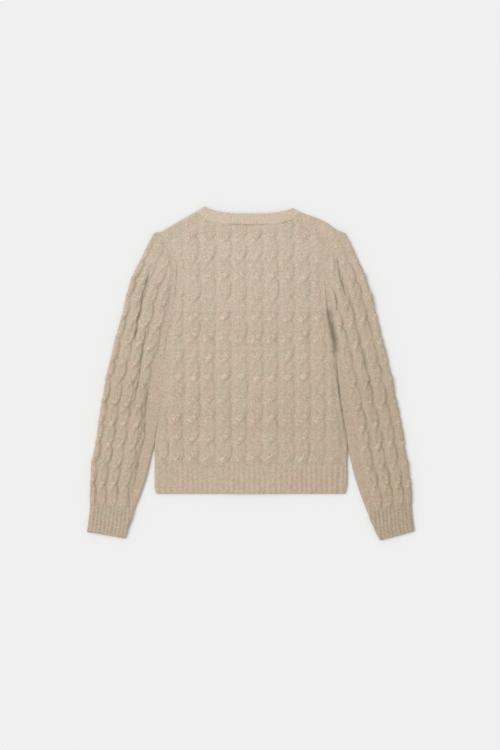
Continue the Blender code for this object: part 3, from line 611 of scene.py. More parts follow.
def maths(tree, operation, *values):
    """A math node's output."""
    links = {"_" + str(i): value for i, value in enumerate(values)}
    return add_node(tree, "Math", {"operation": operation}, **links).outputs[0]


def ramp(tree, value, *stops):
    """The colour between two stops, each a position and a colour."""
    node = add_node(tree, "ValToRGB", _0=value)
    for stop, (position, code) in zip(node.color_ramp.elements, stops):
        stop.position = position
        stop.color = linear(code)
    return node.outputs[0]


def toned(tree, colour, tone, share=1.0):
    """The colour multiplied by a tone, by that share."""
    return add_node(tree, "Mix", {"data_type": "RGBA", "blend_type": "MULTIPLY"}, _0=share,
                    _6=colour, _7=tone).outputs[2]


def new_material(name):
    """A material, its node tree and its shader."""
    material = bpy.data.materials.new(name)
    material.use_nodes = True
    return material, material.node_tree, material.node_tree.nodes["Principled BSDF"]


def stitch_relief(tree):
    """The height of the stitches as the stitch map lays them: a V of two legs, or an
    arc on the purl side. Also the cell of each stitch."""
    stitch_map = add_node(tree, "UVMap", {"uv_map": "stitches"})
    split = add_node(tree, "SeparateXYZ", _0=stitch_map.outputs[0])
    wale, course = split.outputs[0], split.outputs[1]
    from_middle = maths(tree, "ABSOLUTE", maths(tree, "SUBTRACT", maths(tree, "FRACT", wale), 0.5))
    leg = maths(tree, "SINE", maths(tree, "MULTIPLY", from_middle, 2 * math.pi))
    leg = maths(tree, "POWER", maths(tree, "MAXIMUM", leg, 0.0), 0.6)
    lean = maths(tree, "SUBTRACT", course, maths(tree, "MULTIPLY", from_middle, 1.3))
    loop = maths(tree, "SINE", maths(tree, "MULTIPLY", maths(tree, "FRACT", lean), math.pi))
    loop = maths(tree, "MULTIPLY_ADD", maths(tree, "POWER", loop, 0.6), 0.7, 0.3)
    arc = maths(tree, "SINE", maths(tree, "MULTIPLY", wale, 2 * math.pi))
    arc = maths(tree, "MULTIPLY_ADD", arc, 0.16, course)
    arc = maths(tree, "SINE", maths(tree, "MULTIPLY", maths(tree, "FRACT", arc), math.pi))
    purl_side = add_node(tree, "Attribute", {"attribute_name": "purl"}).outputs["Fac"]
    stitch = add_node(tree, "Mix", {"data_type": "FLOAT"}, _0=purl_side,
                      _2=maths(tree, "MULTIPLY", leg, loop), _3=maths(tree, "POWER", arc, 0.8))
    cell = add_node(tree, "CombineXYZ", _0=maths(tree, "FLOOR", wale), _1=maths(tree, "FLOOR", lean))
    return stitch.outputs[0], cell.outputs[0]


def wool(name, light, dark, depth, marled=2.1):
    """Marled wool in stockinette, of two shades mixed that strongly, with painted
    shade between the stitches by that depth and along the creases, and painted
    shade that deepens towards the bottom and towards the right."""
    material, tree, shader = new_material(name)
    stitch, cell = stitch_relief(tree)
    where = add_node(tree, "TexCoord").outputs["Object"]
    fibre = add_node(tree, "TexNoise", Vector=where, Scale=900.0, Detail=3.0, Roughness=0.7)
    marl = add_node(tree, "TexNoise", Vector=where, Scale=430.0, Detail=2.0, Roughness=0.6)
    cloud = add_node(tree, "TexNoise", Vector=where, Scale=26.0, Detail=1.0)
    each = add_node(tree, "TexWhiteNoise", {"noise_dimensions": "2D"}, _0=cell)
    turned = add_node(tree, "Attribute", {"attribute_name": "turned"}).outputs["Fac"]
    fleck = maths(tree, "MULTIPLY_ADD", turned, 4.2, marled)
    shade = maths(tree, "MULTIPLY", maths(tree, "SUBTRACT", marl.outputs["Fac"], 0.5), fleck)
    shade = maths(tree, "MULTIPLY_ADD", fibre.outputs["Fac"], 0.6, maths(tree, "ADD", shade, 0.28))
    # Each stitch a little lighter or darker at random, more so where a crossing turns it: painted
    # glints of the turned stitches.
    stitch_tone_and_glint = maths(tree, "MULTIPLY_ADD", turned, 1.5, 0.3)
    stitch_tone_and_glint = maths(tree, "MULTIPLY", maths(tree, "SUBTRACT", each.outputs["Value"], 0.5), stitch_tone_and_glint)
    yarn = add_node(tree, "Mix", {"data_type": "RGBA"}, _0=maths(tree, "ADD", shade, stitch_tone_and_glint),
                    _6=linear(dark), _7=linear(light)).outputs[2]
    yarn = toned(tree, yarn, ramp(tree, cloud.outputs["Fac"], (0.38, "fbfbf4"), (0.62, "fff9f6")))
    place = add_node(tree, "SeparateXYZ", _0=where)
    # Painted shade, for light that falls off: the yarn darker towards the bottom and towards the
    # right.
    for axis, near, far, tone in ((1, 0.24, -0.08, "f5f2ee"), (0, 0.03, 0.31, "f4f3f1")):
        share = add_node(tree, "MapRange", Value=place.outputs[axis], From_Min=near, From_Max=far)
        yarn = toned(tree, yarn, linear(tone), share.outputs[0])
    # Painted shade between the stitches, by depth.
    hollow_shade = maths(tree, "MULTIPLY_ADD", stitch, depth, 1.0 - depth)
    # Painted shade along the creases, from the crease shade that the points carry.
    crease_shade = add_node(tree, "Attribute", {"attribute_name": "crease_shade"}).outputs["Fac"]
    hollow_shade = maths(tree, "MULTIPLY", hollow_shade, maths(tree, "MULTIPLY_ADD", crease_shade, -0.72, 1.0))
    tree.links.new(toned(tree, yarn, hollow_shade), shader.inputs["Base Color"])
    relief = maths(tree, "MULTIPLY_ADD", fibre.outputs["Fac"], 0.25, stitch)
    bump = add_node(tree, "Bump", Strength=0.6, Distance=0.0008, Height=relief)
    tree.links.new(bump.outputs[0], shader.inputs["Normal"])
    shader.inputs["Roughness"].default_value = 0.95
    shader.inputs["Specular IOR Level"].default_value = 0.2
    shader.inputs["Sheen Weight"].default_value = 0.25
    shader.inputs["Sheen Roughness"].default_value = 0.6
    shader.inputs["Sheen Tint"].default_value = linear("f6ead8")
    return material


body_wool = wool("wool_marled_body", "e8daca", "c3b19b", 0.17)
back.data.materials.append(body_wool)
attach(back, "root")
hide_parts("back")

# ------------------------------------------------------------------ the back hem
# The ribbed welt that the back grows out of, in the same yarn on finer needles:
# ribs a centimetre wide, flat below and rounded at the cast-on edge.
HEM_EDGE = 2.6            # height over which the cast-on edge rounds off
CAST_ON_LIFT = 0.6        # it rolls down less far than a side does


def hem_row(u, v):
    """A row of the back's hem, at v of the way up."""
    row_y = HEM_Y + (RIB_Y - JOIN - HEM_Y) * v
    left, right = side("left", row_y), side("right", row_y)
    x = left + (right - left) * u
    y = np.full(len(u), row_y)
    plain, up, wrong, relief = upper_row(x, y, left, right, row_y)
    plain[:, 2] = over_edge(plain[:, 2], FREE_EDGE + CAST_ON_LIFT, y - HEM_Y, HEM_EDGE)
    relief = relief * np.clip((y - HEM_Y) / HEM_EDGE, 0.3, 1.0)
    return plain, up, wrong, np.stack([x, y, relief], axis=1)


hem, hem_area = knit_shell("back_hem_knit", 370, 40, hem_row, body_knit)
hem.data.materials.append(body_wool)
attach(hem, "root")
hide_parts("back_hem")

# ------------------------------------------------------------------- the sleeves
# Each is a cabled panel closed to a tube under the arm and laid flat, so that one
# cable runs along the folded outer edge. A plain strip beside the underarm seam
# takes the increases. Below, where it rests, the cables are pressed nearly flat.
EDGE_COLUMNS = [("outer_x", float), ("outer_y", float), ("inner_x", float), ("inner_y", float)]
SLEEVES = {
    "left": np.array([
        (-327.5, -316.0, -251.0, -329.5),
        (-324.5, -294.0, -243.0, -307.0),
        (-320.5, -257.0, -231.0, -270.0),
        (-319.5, -225.0, -219.0, -241.0),
        (-318.0, -190.0, -208.0, -207.0),
        (-311.0, -150.0, -198.5, -168.0),
        (-304.5, -110.0, -190.0, -128.0),
        (-296.0, -54.0, -182.0, -73.0),
        (-286.0, 0.0, -175.0, -20.0),
        (-271.5, 60.0, -170.0, 38.0),
        (-258.0, 110.0, -165.0, 86.0),
        (-246.0, 160.0, -153.0, 132.0),
        (-233.5, 200.0, -148.0, 175.0),
        (-217.5, 232.0, -148.0, 213.0),
        (-206.0, 257.0, -160.0, 248.0),
        (-195.0, 279.5, -181.0, 283.0),
    ], dtype=EDGE_COLUMNS),
    "right": np.array([
        (328.5, -314.5, 258.5, -333.0),
        (325.5, -294.0, 247.0, -309.0),
        (322.5, -257.0, 232.0, -272.0),
        (320.5, -225.0, 220.0, -241.0),
        (315.5, -190.0, 209.0, -207.0),
        (308.5, -150.0, 199.5, -168.0),
        (303.0, -110.0, 192.5, -128.0),
        (291.0, -54.0, 183.0, -73.0),
        (280.0, 0.0, 175.0, -20.0),
        (265.0, 60.0, 171.0, 38.0),
        (253.0, 110.0, 165.0, 86.0),
        (240.0, 160.0, 155.0, 132.0),
        (226.5, 200.0, 149.0, 175.0),
        (212.5, 232.0, 147.0, 213.0),
        (201.5, 257.0, 156.0, 248.0),
        (191.0, 279.5, 168.0, 287.0),
    ], dtype=EDGE_COLUMNS),
}
CUFF_ROW = 2              # the row of the tables where the cuff starts
SLEEVE_PITCH = {"left": 24.0, "right": 25.5}    # from cable to cable at the top
CUFF_PITCH = 21.5         # and at the cuff
WIDENING = 110.0          # length over which the one becomes the other
COLUMNS = (-4, 2)         # the first and the last cable, counted from the fold
SLEEVE_FULL = 0.90        # share of its column that a cable fills
SLEEVE_SUNK = 0.75        # how open the gutters are
SLEEVE_FIRM = 1.25        # how high the cables stand
CUFF_RIB = 7.8
# Painted shade between the cuff's ribs, multiplied into the yarn's colour:
CUFF_SHADE = 0.13         # how dark it is between the cuff's ribs
CUFF_FADE = 7.0           # half the length over which the ribs become cables
OUTER_GUTTER = 14.0       # from the folded edge to the first gutter
SLEEVE_CROSSING = 41.0    # about, from crossing to crossing
CROWN_START = 40.0        # from the top, where the cables start to be stretched flat
CROWN_LENGTH = 90.0
GAP_TIP_Y = -128.0        # below this the sleeves swing away from the body
GAP_FADE = 30.0
PRESSED = 1.1             # height of the cables on the underside
INSET = 1.8               # the plain edge lies inside the outline, which has cables
SLEEVE_WALL = 2.3
FREE_ROLL = 5.0           # how wide the underarm edge rolls where it lies free
EDGE_CELLS = 4            # cells of the mesh round half of that edge
LEAST_GAP = 0.04          # share of its height that the space in a tube keeps
CUFF_MIDDLE = 3.5         # height that the cuff's end thins towards
CUFF_THINS = 0.35         # and by what share
SLEEVE_COLUMN_BEND = 0.8  # how far the columns and the rows of crossings wave
SLEEVE_CROSSING_BEND = 2.2
SEAM_STRIP = 4.0          # the plain strip beside the underarm seam
SEAM_FADE = 10.0          # the width over which the cables rise beside it
HEAD_FADE = 30.0          # and the length over which they rise from the armhole


def sleeve_line(which):
    """The table of a sleeve with the distance along its middle from the cuff's end."""
    table = SLEEVES[which]
    middle = np.stack([(table["outer_x"] + table["inner_x"]) / 2,
                       (table["outer_y"] + table["inner_y"]) / 2], axis=1)
    steps = np.linalg.norm(np.diff(middle, axis=0), axis=1)
    places = np.concatenate([[0.0], np.cumsum(steps)])
    return np.array(list(zip(places, table["outer_x"], table["outer_y"],
                             table["inner_x"], table["inner_y"])),
                    dtype=[("along", float)] + EDGE_COLUMNS)


def tube_section(q, width, roll):
    """A flattened tube seen along its length: distance from the inner edge, height,
    and the way that it faces, at a distance q round it from the folded edge. q is
    positive on top."""
    radius = (TOP - PRESSED) / 2
    middle = PRESSED + radius
    arc = math.pi / 2 * radius
    flat = width - radius - roll
    turn = np.clip(q / radius, -math.pi / 2, math.pi / 2)
    beyond = np.clip(np.abs(q) - arc, 0.0, None)
    inner_arc = math.pi / 2 * math.sqrt((radius ** 2 + roll ** 2) / 2)
    share = np.clip((beyond - flat) / inner_arc, 0.0, 1.0) * math.pi / 2
    top = np.sign(q)
    d = width - radius + radius * np.cos(turn) - np.minimum(beyond, flat)
    d = np.where(share > 0.0, roll - roll * np.sin(share), d)
    z = middle + radius * np.where(share > 0.0, top * np.cos(share), np.sin(turn))
    face_d = np.where(share > 0.0, -np.sin(share) * radius, np.cos(turn))
    face_z = np.where(share > 0.0, top * np.cos(share) * roll, np.sin(turn))
    size = np.hypot(face_d, face_z)
    return d, z, face_d / size, face_z / size, arc + flat + inner_arc, inner_arc


def tube_row(which, along, u, attached, end_round=0.0):
    """A row of a sleeve or cuff, all round the tube. Its inner edge is attached to the
    body or free, and end_round is the share by which the tube thins at its end."""
    table = sleeve_line(which)
    edges = [float(read(table, "along", column, along)) for column, _ in EDGE_COLUMNS]
    outer, inner = np.array(edges[:2]), np.array(edges[2:])
    sign = SIGN[which]
    if attached:
        against = side(which, inner[1]) + sign * JOIN
        free = sign * max(sign * inner[0], sign * against)
        inner[0] = against + (free - against) * ease((GAP_TIP_Y - inner[1]) / GAP_FADE)
    run = outer - inner
    width = float(np.linalg.norm(run)) - INSET
    run = run / np.linalg.norm(run)
    roll = FREE_ROLL
    if attached:
        roll = float(read(SIDES, "y", which + "_roll", max(inner[1], GAP_TIP_Y - 12.0)))
        roll = min(max(roll, 0.02), FREE_ROLL)
    _, _, _, _, half, inner_arc = tube_section(np.zeros(1), width, roll)
    cells = len(u) - 1
    q = np.interp(u * cells, (0, EDGE_CELLS, cells - EDGE_CELLS, cells),
                  (half, half - inner_arc, inner_arc - half, -half))
    d, z, face_d, face_z, _, _ = tube_section(q, width, roll)
    x = inner[0] + run[0] * d
    y = inner[1] + run[1] * d
    upper = ease((z - PRESSED) / (TOP - PRESSED))
    moved = upper * (lie(x, y) - TOP) + (1.0 - upper) * beneath(x, y)
    plain = np.stack([x, y, z + moved - end_round * (z - CUFF_MIDDLE)], axis=1)
    facing = np.stack([face_d * run[0], face_d * run[1], face_z], axis=1)
    wrong = plain - facing * SLEEVE_WALL
    middle = (TOP + PRESSED) / 2
    least = middle + LEAST_GAP * (z - middle)
    wrong[:, 2] = np.where(z > middle + 0.000001, np.maximum(wrong[:, 2], least),
                           np.minimum(wrong[:, 2], least))
    pressed = PRESSED / (STRAND_HEIGHT + STRAND_LIFT)
    amount = pressed + (1.0 - pressed) * upper
    return plain, facing, wrong, np.stack([q, np.full(len(u), along), amount], axis=1)


def sleeve_knit(which, cuff_end, length):
    """The knit of a sleeve of that length, with its cuff."""
    lean = -SIGN[which]
    table = sleeve_line(which)
    crossings = int((length - cuff_end) / SLEEVE_CROSSING * 4) / 4
    spacing = (length - cuff_end) / crossings

    def knit(q, along, centre=None):
        """As body_knit, at a distance q round the tube from its folded edge."""
        at_q, at_a = (q, along) if centre is None else centre
        pitch = CUFF_PITCH + (SLEEVE_PITCH[which] - CUFF_PITCH) * ease((at_a - cuff_end) / WIDENING)
        start_q = OUTER_GUTTER - SLEEVE_COLUMN_BEND * waves(at_q, at_a, 100.0, 7)
        start_a = cuff_end - SLEEVE_CROSSING_BEND * waves(at_q, at_a, 130.0, 8)
        at_columns = lean * (at_q - start_q) / pitch
        height, across, run, turned, dark, strand = rope_on_face(
            (lean * (q - start_q) / pitch, (along - start_a) / spacing),
            (at_columns, (at_a - start_a) / spacing), pitch, spacing, SLEEVE_FULL, SLEEVE_SUNK)
        widths = read(table, "along", "outer_x", at_a) - read(table, "along", "inner_x", at_a)
        from_seam = np.abs(widths) - SEAM_STRIP - np.abs(at_q)
        column = np.floor(at_columns)
        column = np.where(lean > 0, column, -1 - column)
        cabled = ease(from_seam / SEAM_FADE) * ease((length - at_a) / HEAD_FADE)
        cabled = cabled * ((column >= COLUMNS[0]) & (column <= COLUMNS[1]))
        stretched = 0.35 + 0.65 * ease((length - at_a - CROWN_START) / CROWN_LENGTH)
        ribbed = ease((cuff_end + CUFF_FADE - at_a) / (2.0 * CUFF_FADE))
        rib = rib_ridge(at_q / CUFF_RIB)
        firmness = (SLEEVE_FIRM + 0.2 * waves(at_q, at_a, 45.0, 9)) * (0.4 + 0.6 * stretched)
        roped = cabled * (1.0 - ribbed)
        height = height * roped * firmness + RIB_HEIGHT * rib * ribbed
        purl = np.where(ribbed > 0.5, rib < PURL_RIB, (strand == 0) & (cabled > 0.5))
        plain = (cabled < 0.5) & (strand == 0)
        wales = np.where(ribbed > 0.5, q * 2 / CUFF_RIB + 0.5,
                         np.where(plain, q / WALE, across / WALE + 0.5))
        courses = np.where(ribbed > 0.5, along, run) / COURSE
        dark = dark * roped * stretched + CUFF_SHADE * (1.0 - rib) * ribbed
        return height, wales, courses, purl.astype(float), turned * roped, dark

    return knit


# Painted shade: the sleeves' and cuffs' wool is the same yarn as the body's, coloured a little
# darker, the cuffs' with a darker second shade and deeper painted shade between the stitches.
sleeve_wool = wool("wool_marled_sleeve", "e6d8c8", "c1af98", 0.18)
cuff_wool = wool("wool_marled_cuff", "e8dbcb", "baa993", 0.22)
for which in ("left", "right"):
    table = sleeve_line(which)
    cuff_end = float(table["along"][CUFF_ROW])
    length = float(table["along"][-1])
    knit = sleeve_knit(which, cuff_end, length)

    def sleeve_row(u, v):
        """A row of the sleeve, all round."""
        return tube_row(which, cuff_end + JOIN + (length - cuff_end - JOIN) * v, u, True)

    def cuff_row(u, v):
        """A row of the cuff, all round."""
        along = (cuff_end - JOIN) * v
        edge = over_edge(1.0, 0.0, np.array([along]), HEM_EDGE)[0]
        return tube_row(which, along, u, False, CUFF_THINS * (1.0 - edge))

    sleeve, area = knit_shell("sleeve_" + which + "_knit", 190, 330, sleeve_row, knit, tube=True)
    sleeve.data.materials.append(sleeve_wool)
    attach(sleeve, "root")
    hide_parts("sleeve_" + which)
    # The cuff: narrower ribs, folded as the sleeve is.
    cuff, area = knit_shell("cuff_" + which + "_knit", 190, 36, cuff_row, knit, tube=True)
    cuff.data.materials.append(cuff_wool)
    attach(cuff, "root")
    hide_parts("cuff_" + which)

# -------------------------------------------------------------------- the fronts
# Two cabled panels under the back, with the cables pressed nearly flat where they
# rest. Each goes on over the shoulder, plain from there, to a seam on the back,
# and has a ribbed welt like the back's.
FRONT_NECK = 239.0        # Y of the neck edge at the middle of the front
FRONT_SEAM = 217.0        # and of the neckband's seam
FRONT_RELIEF = 0.8        # how much of the hem ribs' height stays where they are pressed
BAND_HALF = 16.0          # half the width of a button band
BAND_GUTTER = 20.0        # the first gutter beside the band
NECK_LENGTH = 105.0       # the front's rows up the neck curve, along their middle
SHOULDER_TIP_Y = {"left": 278.5, "right": 284.5}
SHOULDER_BOW = {"left": 0.4, "right": 4.4}    # how far the fold there bows outwards
SHOULDER_BACK = 22.0      # the front's rows from that fold to the seam on the back
SHOULDER_UNDER = UPPER + 0.4                  # height of its wrong side there
SHOULDER_STRIP = 4.0      # the plain strip below that fold
SHOULDER_FADE = 14.0      # the height over which the cables end below it
FRONT_BEND = 1.2          # how far the columns and the rows of crossings wave
FRONT_RIB_FADE = 7.0      # half the height over which the ribs become cables
SEWN_GAP = 0.2            # between a front and what it is sewn to, where it is pressed
SIDE_DROP = 0.2           # how far the edges at the side and at the band round off
BAND_DROP = 0.4


def shoulder_tip(which):
    """The armhole where it folds over the shoulder."""
    y = SHOULDER_TIP_Y[which]
    return np.array([side(which, y), y])


def shoulder_outward(which):
    """The direction in plan that a shoulder's fold faces."""
    run = shoulder_tip(which) - SEAM_PEAK[which]
    normal = np.array([-run[1], run[0]]) / np.linalg.norm(run)
    return normal if normal[1] > 0 else -normal


def front_neck(which, edge, angle):
    """A point on the front neck, from 0 at the middle to 90 at the shoulder."""
    peak = (NECK_PEAK if edge == "neck" else SEAM_PEAK)[which]
    start_x = SIGN[which] * BAND_HALF
    start_y = FRONT_NECK if edge == "neck" else FRONT_SEAM
    turn = math.radians(angle)
    return np.array([start_x + (peak[0] - start_x) * math.sin(turn) ** 0.9,
                     start_y + (peak[1] - start_y) * (1.0 - math.cos(turn))])


FOLD_RADIUS = (TOP - PRESSED) / 2         # of the right side where the cloth folds
FOLD_LENGTH = math.pi * FOLD_RADIUS
FOLD_OUT = PRESSED / 2                    # keeps the fold's outline in its place


def over_fold(points, outward, turn):
    """Right side, way that it faces, and wrong side at places in plan round a fold,
    from -90 degrees underneath to 90 on top."""
    sine = math.sin(math.radians(turn))
    cosine = math.cos(math.radians(turn))
    facing = np.tile([outward[0] * cosine, outward[1] * cosine, sine], (len(points), 1))
    flat = np.concatenate([points, np.zeros((len(points), 1))], axis=1)
    plain = flat + facing * [FOLD_RADIUS + FOLD_OUT, FOLD_RADIUS + FOLD_OUT, FOLD_RADIUS]
    plain[:, 2] += PRESSED + FOLD_RADIUS
    inside = (UPPER - WALL) / 2
    wrong = flat + facing * inside
    wrong[:, 2] += (UPPER + WALL) / 2
    return plain, facing, wrong


def front_rails(which, way):
    """The ends of a front's row at a way up from the hem's seam, at the band and at
    the side, the turn round the shoulder, the way beyond the fold's start, and how
    much of the shoulder's bow the row has."""
    sign = SIGN[which]
    straight = FRONT_SEAM - RIB_Y
    tip = shoulder_tip(which)
    if way < straight:
        y = RIB_Y + JOIN + way
        return (np.array([sign * (BAND_HALF + SEWN_GAP / 2), y]),
                np.array([side(which, y) - sign * SEWN_GAP, y]), -90.0, 0.0, 0.0)
    way = way - straight
    if way < NECK_LENGTH:
        share = way / NECK_LENGTH
        near = front_neck(which, "seam", 90.0 * share) + [sign * SEWN_GAP, -SEWN_GAP]
        y = FRONT_SEAM + (tip[1] - FRONT_SEAM) * share
        bow = np.clip(8.0 * share - 7.0, 0.0, 1.0)
        return near, np.array([side(which, y) - sign * SEWN_GAP, y]), -90.0, 0.0, bow
    way = way - NECK_LENGTH
    near = SEAM_PEAK[which] + [sign * JOIN, -JOIN]
    far = tip - [sign * JOIN, 0.0]
    if way < FOLD_LENGTH:
        return near, far, 180.0 * way / FOLD_LENGTH - 90.0, way, 1.0
    share = (way - FOLD_LENGTH) / (FRONT_LENGTH - straight - NECK_LENGTH - FOLD_LENGTH)
    near_x = near[0] + (NECK_X[which] - near[0]) * share
    y = tip[1] + (SHOULDER_Y - tip[1]) * share
    return (np.array([near_x + sign * JOIN, float(band_seam_y(near_x)) - JOIN]),
            np.array([side(which, y) - sign * JOIN, y]), 90.0, way, 1.0 - share)


FRONT_LENGTH = FRONT_SEAM - RIB_Y + NECK_LENGTH + FOLD_LENGTH + SHOULDER_BACK


def front_row(u, v):
    """A row of the front in which it is called."""
    near, far, turn, beyond, bow = front_rails(which, FRONT_LENGTH * v)
    points = near + (far - near) * u[:, None]
    outward = shoulder_outward(which)
    bowed = SHOULDER_BOW[which] * bow * np.sin(math.pi * u ** 1.3)
    points = points + outward * bowed[:, None]
    plain, facing, wrong = over_fold(points, outward, turn)
    reach = np.linalg.norm(far - near)
    low = over_edge(np.zeros(len(u)), -SIDE_DROP, (1.0 - u) * reach, 1.0)
    low = low + over_edge(np.zeros(len(u)), -BAND_DROP, u * reach, 1.2)
    plain = plain + facing * low[:, None]
    if turn > 89.0:
        x, y = plain[:, 0], plain[:, 1]
        plain[:, 2] += (lie(x, y) - TOP) * ease((beyond - FOLD_LENGTH) / 12.0)
        wrong[:, 2] = SHOULDER_UNDER
    elif turn < -89.0:
        plain[:, 2] += beneath(plain[:, 0], plain[:, 1])
    rest = PRESSED / (STRAND_HEIGHT + STRAND_LIFT) * ease((20.0 - beyond) / 20.0)
    fabric = np.stack([points[:, 0], points[:, 1] + beyond, np.full(len(u), rest)], axis=1)
    return plain, facing, wrong, fabric


def front_hem_row(u, v):
    """A row of the front's hem."""
    sign = SIGN[which]
    y = HEM_Y + (RIB_Y - JOIN - HEM_Y) * v
    near = sign * (BAND_HALF + SEWN_GAP / 2)
    x = near + (side(which, y) - sign * SEWN_GAP - near) * u
    points = np.stack([x, np.full(len(u), y)], axis=1)
    plain, facing, wrong = over_fold(points, (0.0, 1.0), -90.0)
    edge = over_edge(1.0, 0.3, y - HEM_Y, HEM_EDGE)
    plain[:, 2] += 1.0 - edge
    fabric = np.concatenate([points, np.full((len(u), 1), FRONT_RELIEF * edge)], axis=1)
    return plain, facing, wrong, fabric


def front_knit(x, y, centre=None):
    """As body_knit, for a front and its hem."""
    at_x, at_y = (x, y) if centre is None else centre
    sign = np.where(at_x < 0.0, -1.0, 1.0)
    bend = FRONT_BEND * waves(at_x, at_y, 120.0, 11)
    start_x = sign * BAND_GUTTER - bend
    start_y = FIRST_CROSSING - bend
    height, across, along, turned, dark, strand = rope_on_face(
        ((start_x - x) / COLUMN, (y - start_y) / CROSSING),
        ((start_x - at_x) / COLUMN, (at_y - start_y) / CROSSING),
        COLUMN, CROSSING, BODY_FULL, BODY_SUNK)
    from_side = np.where(at_x < 0.0, at_x - side("left", at_y), side("right", at_y) - at_x)
    shoulder = np.full(np.shape(at_x), 0.0)
    for which_side, here in (("left", at_x < 0.0), ("right", at_x >= 0.0)):
        tip = shoulder_tip(which_side)
        peak = SEAM_PEAK[which_side]
        line = tip[1] + (at_x - tip[0]) * (peak[1] - tip[1]) / (peak[0] - tip[0])
        shoulder = np.where(here, line - at_y, shoulder)
    cabled = ease((from_side - PLAIN_EDGE) / EDGE_FADE)
    cabled = cabled * ease((shoulder - SHOULDER_STRIP) / SHOULDER_FADE)
    ribbed = ease((RIB_Y + FRONT_RIB_FADE - at_y) / (2.0 * FRONT_RIB_FADE))
    rib = rib_ridge((np.abs(at_x) - BAND_HALF) / RIB_WIDTH)
    roped = cabled * (1.0 - ribbed)
    height = height * roped + RIB_HEIGHT * rib * ribbed
    plain = cabled < 0.5
    purl = np.where(ribbed > 0.5, rib < PURL_RIB, (strand == 0) & ~plain)
    wales = np.where(ribbed > 0.5, (np.abs(x) - BAND_HALF) * 2 / RIB_WIDTH + 0.5,
                     np.where(plain, x / WALE, across / WALE + 0.5))
    courses = np.where((ribbed > 0.5) | plain, y, along) / COURSE
    return height, wales, courses, purl.astype(float), turned * roped, dark * roped


for which in ("left", "right"):
    front, area = knit_shell("front_" + which + "_knit", 95, 240, front_row, front_knit)
    front.data.materials.append(body_wool)
    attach(front, "root")
    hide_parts("front_" + which)
    front_hem, area = knit_shell("front_hem_" + which + "_knit", 170, 30, front_hem_row, front_knit)
    front_hem.data.materials.append(body_wool)
    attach(front_hem, "root")
    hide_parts("front_hem_" + which)

# ------------------------------------------------------------------ the neckband
# A strip of fine rib in the same yarn, linked on round the neck: under the garment
# from the right front edge to the shoulder, across the back and down the left.
BAND_RIB = 6.4
BAND_RIB_HEIGHT = 0.25
BAND_COURSE = 3.0         # height of a stitch in the bands
BAND_FADE = 3.0           # the width over which the ribs rise from the neck edge
BAND_WIDTH = 22.0
UNDER_LENGTH = 150.0      # from a front's edge to the fold at the neck point
BACK_NECK = 190.0         # from fold to fold across the back
NECK_LIFT = 0.3           # how far the band stands above the cloth beside it
NECK_DROP = -1.1          # where it rolls down to at the neck edge, and how wide
NECK_ROLL = 3.0
LINKED_DROP = -0.25       # and where it is linked on
LINKED_ROLL = 1.2
BAND_LENGTH = 2 * (UNDER_LENGTH + FOLD_LENGTH) + BACK_NECK


def back_neck(edge, t):
    """A point across the back neck, t from -1 at the left to 1 at the right."""
    end = (NECK_PEAK if edge == "neck" else SEAM_PEAK)["left" if t < 0 else "right"]
    dip, power = (NECK_DIP, BAND_POWER) if edge == "neck" else (BAND_DIP, SEAM_POWER)
    x = NECK_MIDDLE + (end[0] - NECK_MIDDLE) * abs(t)
    return np.array([x, dip + (end[1] - dip) * abs(t) ** power])


def neckband_row(u, v):
    """A row across the neckband, from the neck edge to the seam."""
    way = BAND_LENGTH * v
    half = way if way < BAND_LENGTH / 2 else BAND_LENGTH - way
    end = "right" if way < BAND_LENGTH / 2 else "left"
    turn = -90.0
    if half < UNDER_LENGTH:
        neck, seam = (front_neck(end, edge, 90.0 * half / UNDER_LENGTH) for edge in ("neck", "seam"))
    elif half < UNDER_LENGTH + FOLD_LENGTH:
        neck, seam = NECK_PEAK[end], SEAM_PEAK[end]
        turn = 180.0 * (half - UNDER_LENGTH) / FOLD_LENGTH - 90.0
    else:
        t = 1.0 - (half - UNDER_LENGTH - FOLD_LENGTH) / (BACK_NECK / 2)
        neck, seam = (back_neck(edge, t if end == "right" else -t - 0.000001)
                      for edge in ("neck", "seam"))
        turn = 90.0
    points = neck + (seam - neck) * u[:, None]
    plain, facing, wrong = over_fold(points, shoulder_outward(end), turn)
    lift = over_edge(np.full(len(u), NECK_LIFT), NECK_DROP, u * BAND_WIDTH, NECK_ROLL)
    lift = over_edge(lift, LINKED_DROP, (1.0 - u) * BAND_WIDTH, LINKED_ROLL)
    plain = plain + facing * (lift if turn > -89.0 else 0.5 * lift)[:, None]
    if turn > 89.0:
        plain[:, 2] += (lie(plain[:, 0], plain[:, 1]) - TOP) * u
        wrong[:, 2] = SHOULDER_UNDER
    fabric = np.stack([np.full(len(u), way), u * BAND_WIDTH, np.full(len(u), 1.0)], axis=1)
    return plain, facing, wrong, fabric


def band_knit(x, y, centre, height):
    """As body_knit, for a narrow rib of that height, whose ribs are counted along x."""
    rib = rib_ridge((x if centre is None else centre[0]) / BAND_RIB)
    nothing = np.zeros(np.shape(x))
    return (height * rib, x * 2 / BAND_RIB + 0.5, y / BAND_COURSE,
            (rib < PURL_RIB).astype(float), nothing, nothing)


def neckband_knit(x, y, centre=None):
    """The neckband's rib at a way along it and a distance from its edge."""
    return band_knit(x, y, centre, BAND_RIB_HEIGHT * ease(y / BAND_FADE))


neckband, area = knit_shell("neckband_knit", 12, 460, neckband_row, neckband_knit, coarser=4)
# Painted light: the neckband's wool is the same yarn as the body's, coloured lighter for a flat band
# that shades itself less.
neck_wool = wool("wool_marled_neckband", "f1e1d2", "cab7a1", 0.15, 1.5)
neckband.data.materials.append(neck_wool)
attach(neckband, "root")
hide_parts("neckband")

